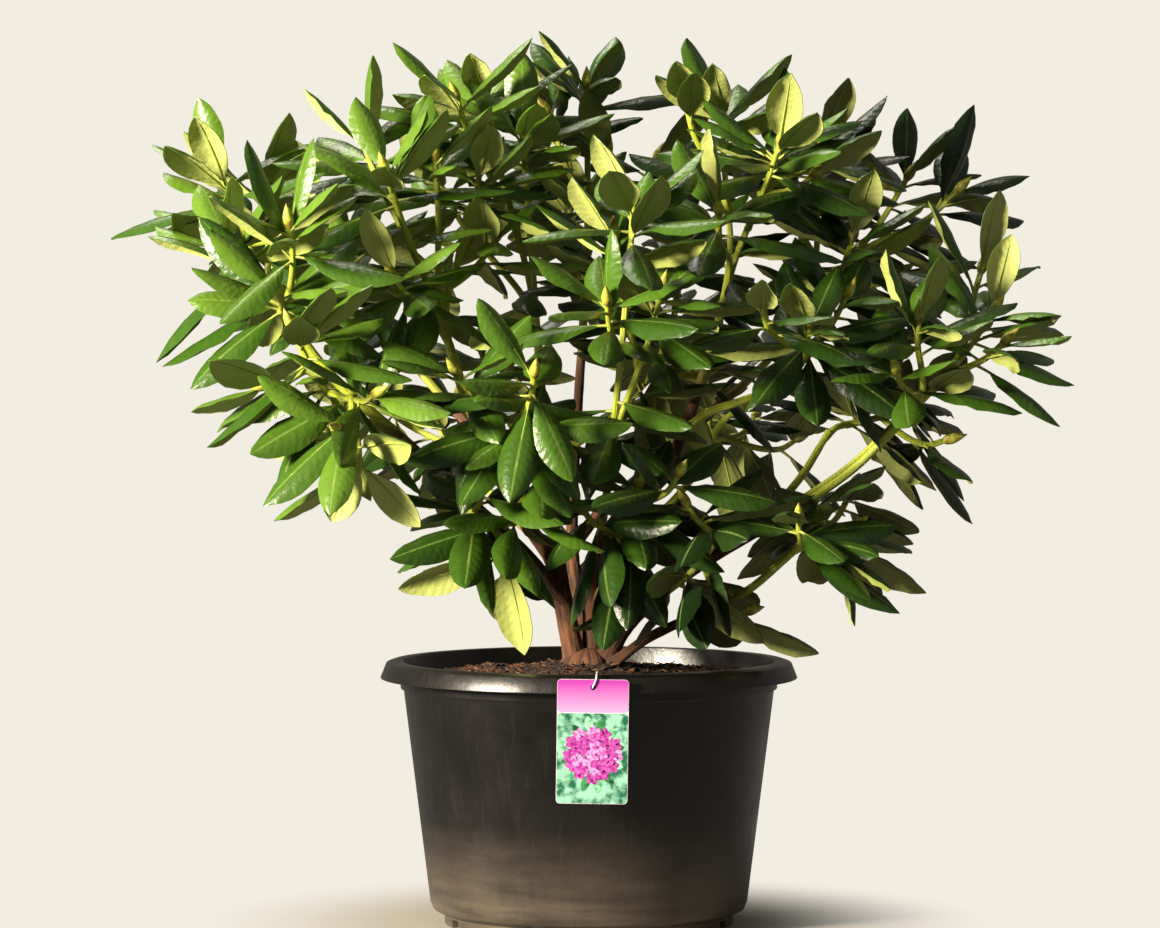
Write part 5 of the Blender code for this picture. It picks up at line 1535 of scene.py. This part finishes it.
def outline_slab(name, shapes, skin, hole=False):
    """Thin slabs in one piece, each an outline of (x, z) points with the depths of its back and front."""
    form = bmesh.new()
    for outline, back, front in shapes:
        face = form.faces.new([form.verts.new((x, -back, z)) for x, z in outline])
        grown = bmesh.ops.extrude_face_region(form, geom=[face])["geom"]
        moved = [g for g in grown if isinstance(g, bmesh.types.BMVert)]
        bmesh.ops.translate(form, verts=moved, vec=(0, back - front, 0))
    bmesh.ops.recalc_face_normals(form, faces=form.faces)
    mesh = bpy.data.meshes.new(name)
    form.to_mesh(mesh)
    form.free()
    mesh.transform(card_matrix)
    mesh.materials.append(skin)
    slab = bpy.data.objects.new(name, mesh)
    scene.collection.objects.link(slab)
    if hole:
        pin = bmesh.new()
        centre = card_matrix @ Matrix.Translation((0, 0, LABEL_HEIGHT / 2 - HOLE_BELOW_TOP))
        bmesh.ops.create_cone(
            pin, cap_ends=True, segments=32, radius1=HOLE_RADIUS, radius2=HOLE_RADIUS, depth=0.01,
            matrix=centre @ Matrix.Rotation(math.pi / 2, 4, "X"),
        )
        pin_mesh = bpy.data.meshes.new("pin")
        pin.to_mesh(pin_mesh)
        pin.free()
        punch = bpy.data.objects.new("punch", pin_mesh)
        scene.collection.objects.link(punch)
        cut = slab.modifiers.new("Hole", "BOOLEAN")
        cut.object = punch
        cut.operation = "DIFFERENCE"
        settle(slab)
        bpy.data.objects.remove(punch)
    return slab


def rounded_rectangle(width, low, high, corner, steps, inset=0.0):
    """The outline of a card with round corners."""
    points = []
    middle, tall = (low + high) / 2, high - low - 2 * inset
    width = width - 2 * inset
    for quarter, (x, z) in enumerate(((1, 1), (-1, 1), (-1, -1), (1, -1))):
        for step in range(steps + 1):
            angle = math.pi / 2 * (quarter + step / steps)
            points.append((
                x * (width / 2 - corner) + corner * math.cos(angle),
                middle + z * (tall / 2 - corner) + corner * math.sin(angle),
            ))
    return points


def printed(name, colours, scale, gloss=0.32):
    """Glossy print on plastic: two inks in soft blotches of a given size in metres."""
    skin = bpy.data.materials.new(name)
    skin.use_nodes = True
    tree = skin.node_tree
    shader = tree.nodes["Principled BSDF"]
    place = add(tree, "ShaderNodeTexCoord").outputs["Object"]
    blotch = add(tree, "ShaderNodeTexNoise", {"Vector": place, "Scale": 1 / scale, "Detail": 3.0}).outputs[0]
    ramp = add(tree, "ShaderNodeValToRGB", {"Fac": blotch})
    ramp.color_ramp.elements[0].position = 0.38
    ramp.color_ramp.elements[0].color = linear(colours[0])
    ramp.color_ramp.elements[1].position = 0.60
    ramp.color_ramp.elements[1].color = linear(colours[1])
    tree.links.new(ramp.outputs[0], shader.inputs["Base Color"])
    shader.inputs["Roughness"].default_value = gloss
    return skin


half = LABEL_HEIGHT / 2
band_low = half - LABEL_HEIGHT * BAND_SHARE
card_skin = printed("white_polypropylene_card", ("#cfc8cc", "#dad5d8"), 0.03)
card_outline = rounded_rectangle(LABEL_WIDTH, -half, half, LABEL_CORNER, 6)
card = outline_slab("printed_card", [(card_outline, 0.0, LABEL_THICKNESS - PRINT_THICKNESS)], card_skin, hole=True)
finish_piece(card, "label_card", "label_card")
print("card:", len(card.data.polygons), "faces")

# %% The head band
# Magenta at the top of the card runs into pale pink at the foot of the band.
band_ink = bpy.data.materials.new("magenta_to_pale_pink_ink")
band_ink.use_nodes = True
tree = band_ink.node_tree
shader = tree.nodes["Principled BSDF"]
place = add(tree, "ShaderNodeTexCoord").outputs["Object"]
height = add(tree, "ShaderNodeSeparateXYZ", {0: place}).outputs[2]
fall = add(
    tree, "ShaderNodeMapRange",
    {"Value": height, "From Min": LABEL_TOP - LABEL_HEIGHT * BAND_SHARE, "From Max": LABEL_TOP - 0.003},
).outputs[0]
ramp = add(tree, "ShaderNodeValToRGB", {"Fac": fall})
ramp.color_ramp.elements[0].color = linear("#cf97c6")
ramp.color_ramp.elements[1].color = linear("#a8389f")
ramp.color_ramp.elements.new(0.45).color = linear("#c075b5")
tree.links.new(ramp.outputs[0], shader.inputs["Base Color"])
shader.inputs["Roughness"].default_value = 0.32


def ink_layer(name, shapes, skin, hole=False):
    """The shapes printed in one ink: (outline, level) pairs, each level a little above the last."""
    card_face = LABEL_THICKNESS - PRINT_THICKNESS
    levels = ((outline, card_face + 0.01 * MM * level) for outline, level in shapes)
    slabs = [(outline, back, back + PRINT_THICKNESS) for outline, back in levels]
    return finish_piece(outline_slab(name, slabs, skin, hole), "label_card", "label_card")


band = rounded_rectangle(LABEL_WIDTH, band_low, half, LABEL_CORNER * 0.9, 6, inset=0.0003)
ink_layer("print_head_band", [(band, 0)], band_ink, hole=True)
print("head band", round(LABEL_HEIGHT * BAND_SHARE * 1000, 1), "mm tall")

# %% The flower and its leaves
def petal(centre, length, width, turn, steps=8):
    """The outline of a petal or leaf from a centre outwards."""
    points = []
    for side in (1, -1):
        for step in range(steps):
            share = step / steps if side == 1 else 1 - step / steps
            reach = math.sin(math.pi * share) ** 0.8 * width / 2 * side
            x, z = share * length, reach
            points.append((
                centre[0] + x * math.cos(turn) - z * math.sin(turn), centre[1] + x * math.sin(turn) + z * math.cos(turn)
            ))
    return points


field = rounded_rectangle(LABEL_WIDTH, -half, band_low, 0.0035, 3, inset=0.0004)
ink_layer("print_field", [(field, 0)], printed("misty_green_ink", ("#1b5c46", "#8cc4ac"), 0.009))
leaf_inks = [
    printed(f"leaf_ink_{k}", pair, 0.006) for k, pair in enumerate((("#16402a", "#3f8a52"), ("#3f8f66", "#9fdcb4")))
]
# Leaves lie round the truss of flowers, which fills most of the card's width.
TRUSS_CENTRE = (0.0008, -0.0125)
LEAF_RING = 12
for kind, ink in enumerate(leaf_inks):
    shapes = []
    for k in range(kind, LEAF_RING, 2):
        turn = math.tau * k / LEAF_RING + 0.2
        root = (TRUSS_CENTRE[0] + 0.014 * math.cos(turn), TRUSS_CENTRE[1] + 0.021 * math.sin(turn))
        shapes.append((petal(root, 0.0175, 0.0085, turn), 1 + kind))
    ink_layer(f"print_leaves_{kind}", shapes, ink)
petal_inks = [
    printed(f"petal_ink_{k}", pair, 0.003)
    for k, pair in enumerate((("#982788", "#bd5fb2"), ("#ab43a0", "#cf9acb"), ("#881d78", "#b350a6")))
]
# Each floret has five petals; florets lie in rings from the rim of the truss inwards.
FLORET_RINGS = ((12, 0.0230), (9, 0.0155), (5, 0.0080), (1, 0.0))
FLORET_REACH = 0.0076
FLORET_PETAL_WIDTH = 0.0060
rng = random.Random("florets")
petals = [[] for _ in petal_inks]
level = 3
for count, ring_radius in FLORET_RINGS:
    for k in range(count):
        turn = math.tau * (k + rng.uniform(-0.15, 0.15)) / count
        wobble = ring_radius + rng.uniform(-0.0012, 0.0012)
        middle = (TRUSS_CENTRE[0] + wobble * math.cos(turn), TRUSS_CENTRE[1] + wobble * math.sin(turn) * 0.94)
        start = rng.uniform(0, math.tau)
        of_one_ink = rng.choice(petals)
        for leg in range(5):
            shape = petal(middle, FLORET_REACH, FLORET_PETAL_WIDTH, start + math.tau * leg / 5, 4)
            of_one_ink.append((shape, level + leg % 2 * 0.5))
        level += 1
for kind, (shapes, ink) in enumerate(zip(petals, petal_inks)):
    ink_layer(f"print_petals_{kind}", shapes, ink)
print(level - 3, "florets of", sum(map(len, petals)), "petals")

# %% The tie
tie_x = LABEL_CENTRE_X + (LABEL_HEIGHT / 2 - HOLE_BELOW_TOP) * math.sin(LABEL_LEAN)
face = -(LIP_RADIUS + CLEARANCE + LABEL_THICKNESS)
over = TIE_RADIUS + CLEARANCE
hole = LABEL_TOP - HOLE_BELOW_TOP
inner = -inner_top
tie_points = [
    Vector((tie_x - 0.0005, face + 0.0004, hole - 0.0003)),
    Vector((tie_x, face - over - 0.0004, hole + 0.0012)),
    Vector((tie_x + 0.003, face - over, LABEL_TOP + 0.0006)),
    Vector((tie_x + 0.0035, face + 0.003, POT_HEIGHT + over + 0.0004)),
    Vector((tie_x + 0.004, inner - 0.010, POT_HEIGHT + over)),
    Vector((tie_x + 0.004, inner + 0.001, POT_HEIGHT + over)),
    Vector((tie_x + 0.004, inner + 0.006, SOIL_TOP)),
    Vector((tie_x + 0.004, inner + 0.007, SOIL_TOP - SOIL_EDGE_DROP * 0.9 + CLEARANCE)),
]
tie_skin = printed("white_polyethylene_thread", ("#d9d8d2", "#f0efe9"), 0.004, 0.42)
tie = settle(
    lines_object("label_thread", [[(p, {"reach": TIE_RADIUS, "ripeness": 0.0}) for p in smooth_path(tie_points, 6)]]),
    round_tree, sides=12, relief=0.0, ridge_width=RIDGE_WIDTH, skin=tie_skin,
)
tie.data.shade_smooth()
finish_piece(tie, "label_tie", "label_tie")
print("tie:", len(tie.data.polygons), "faces")
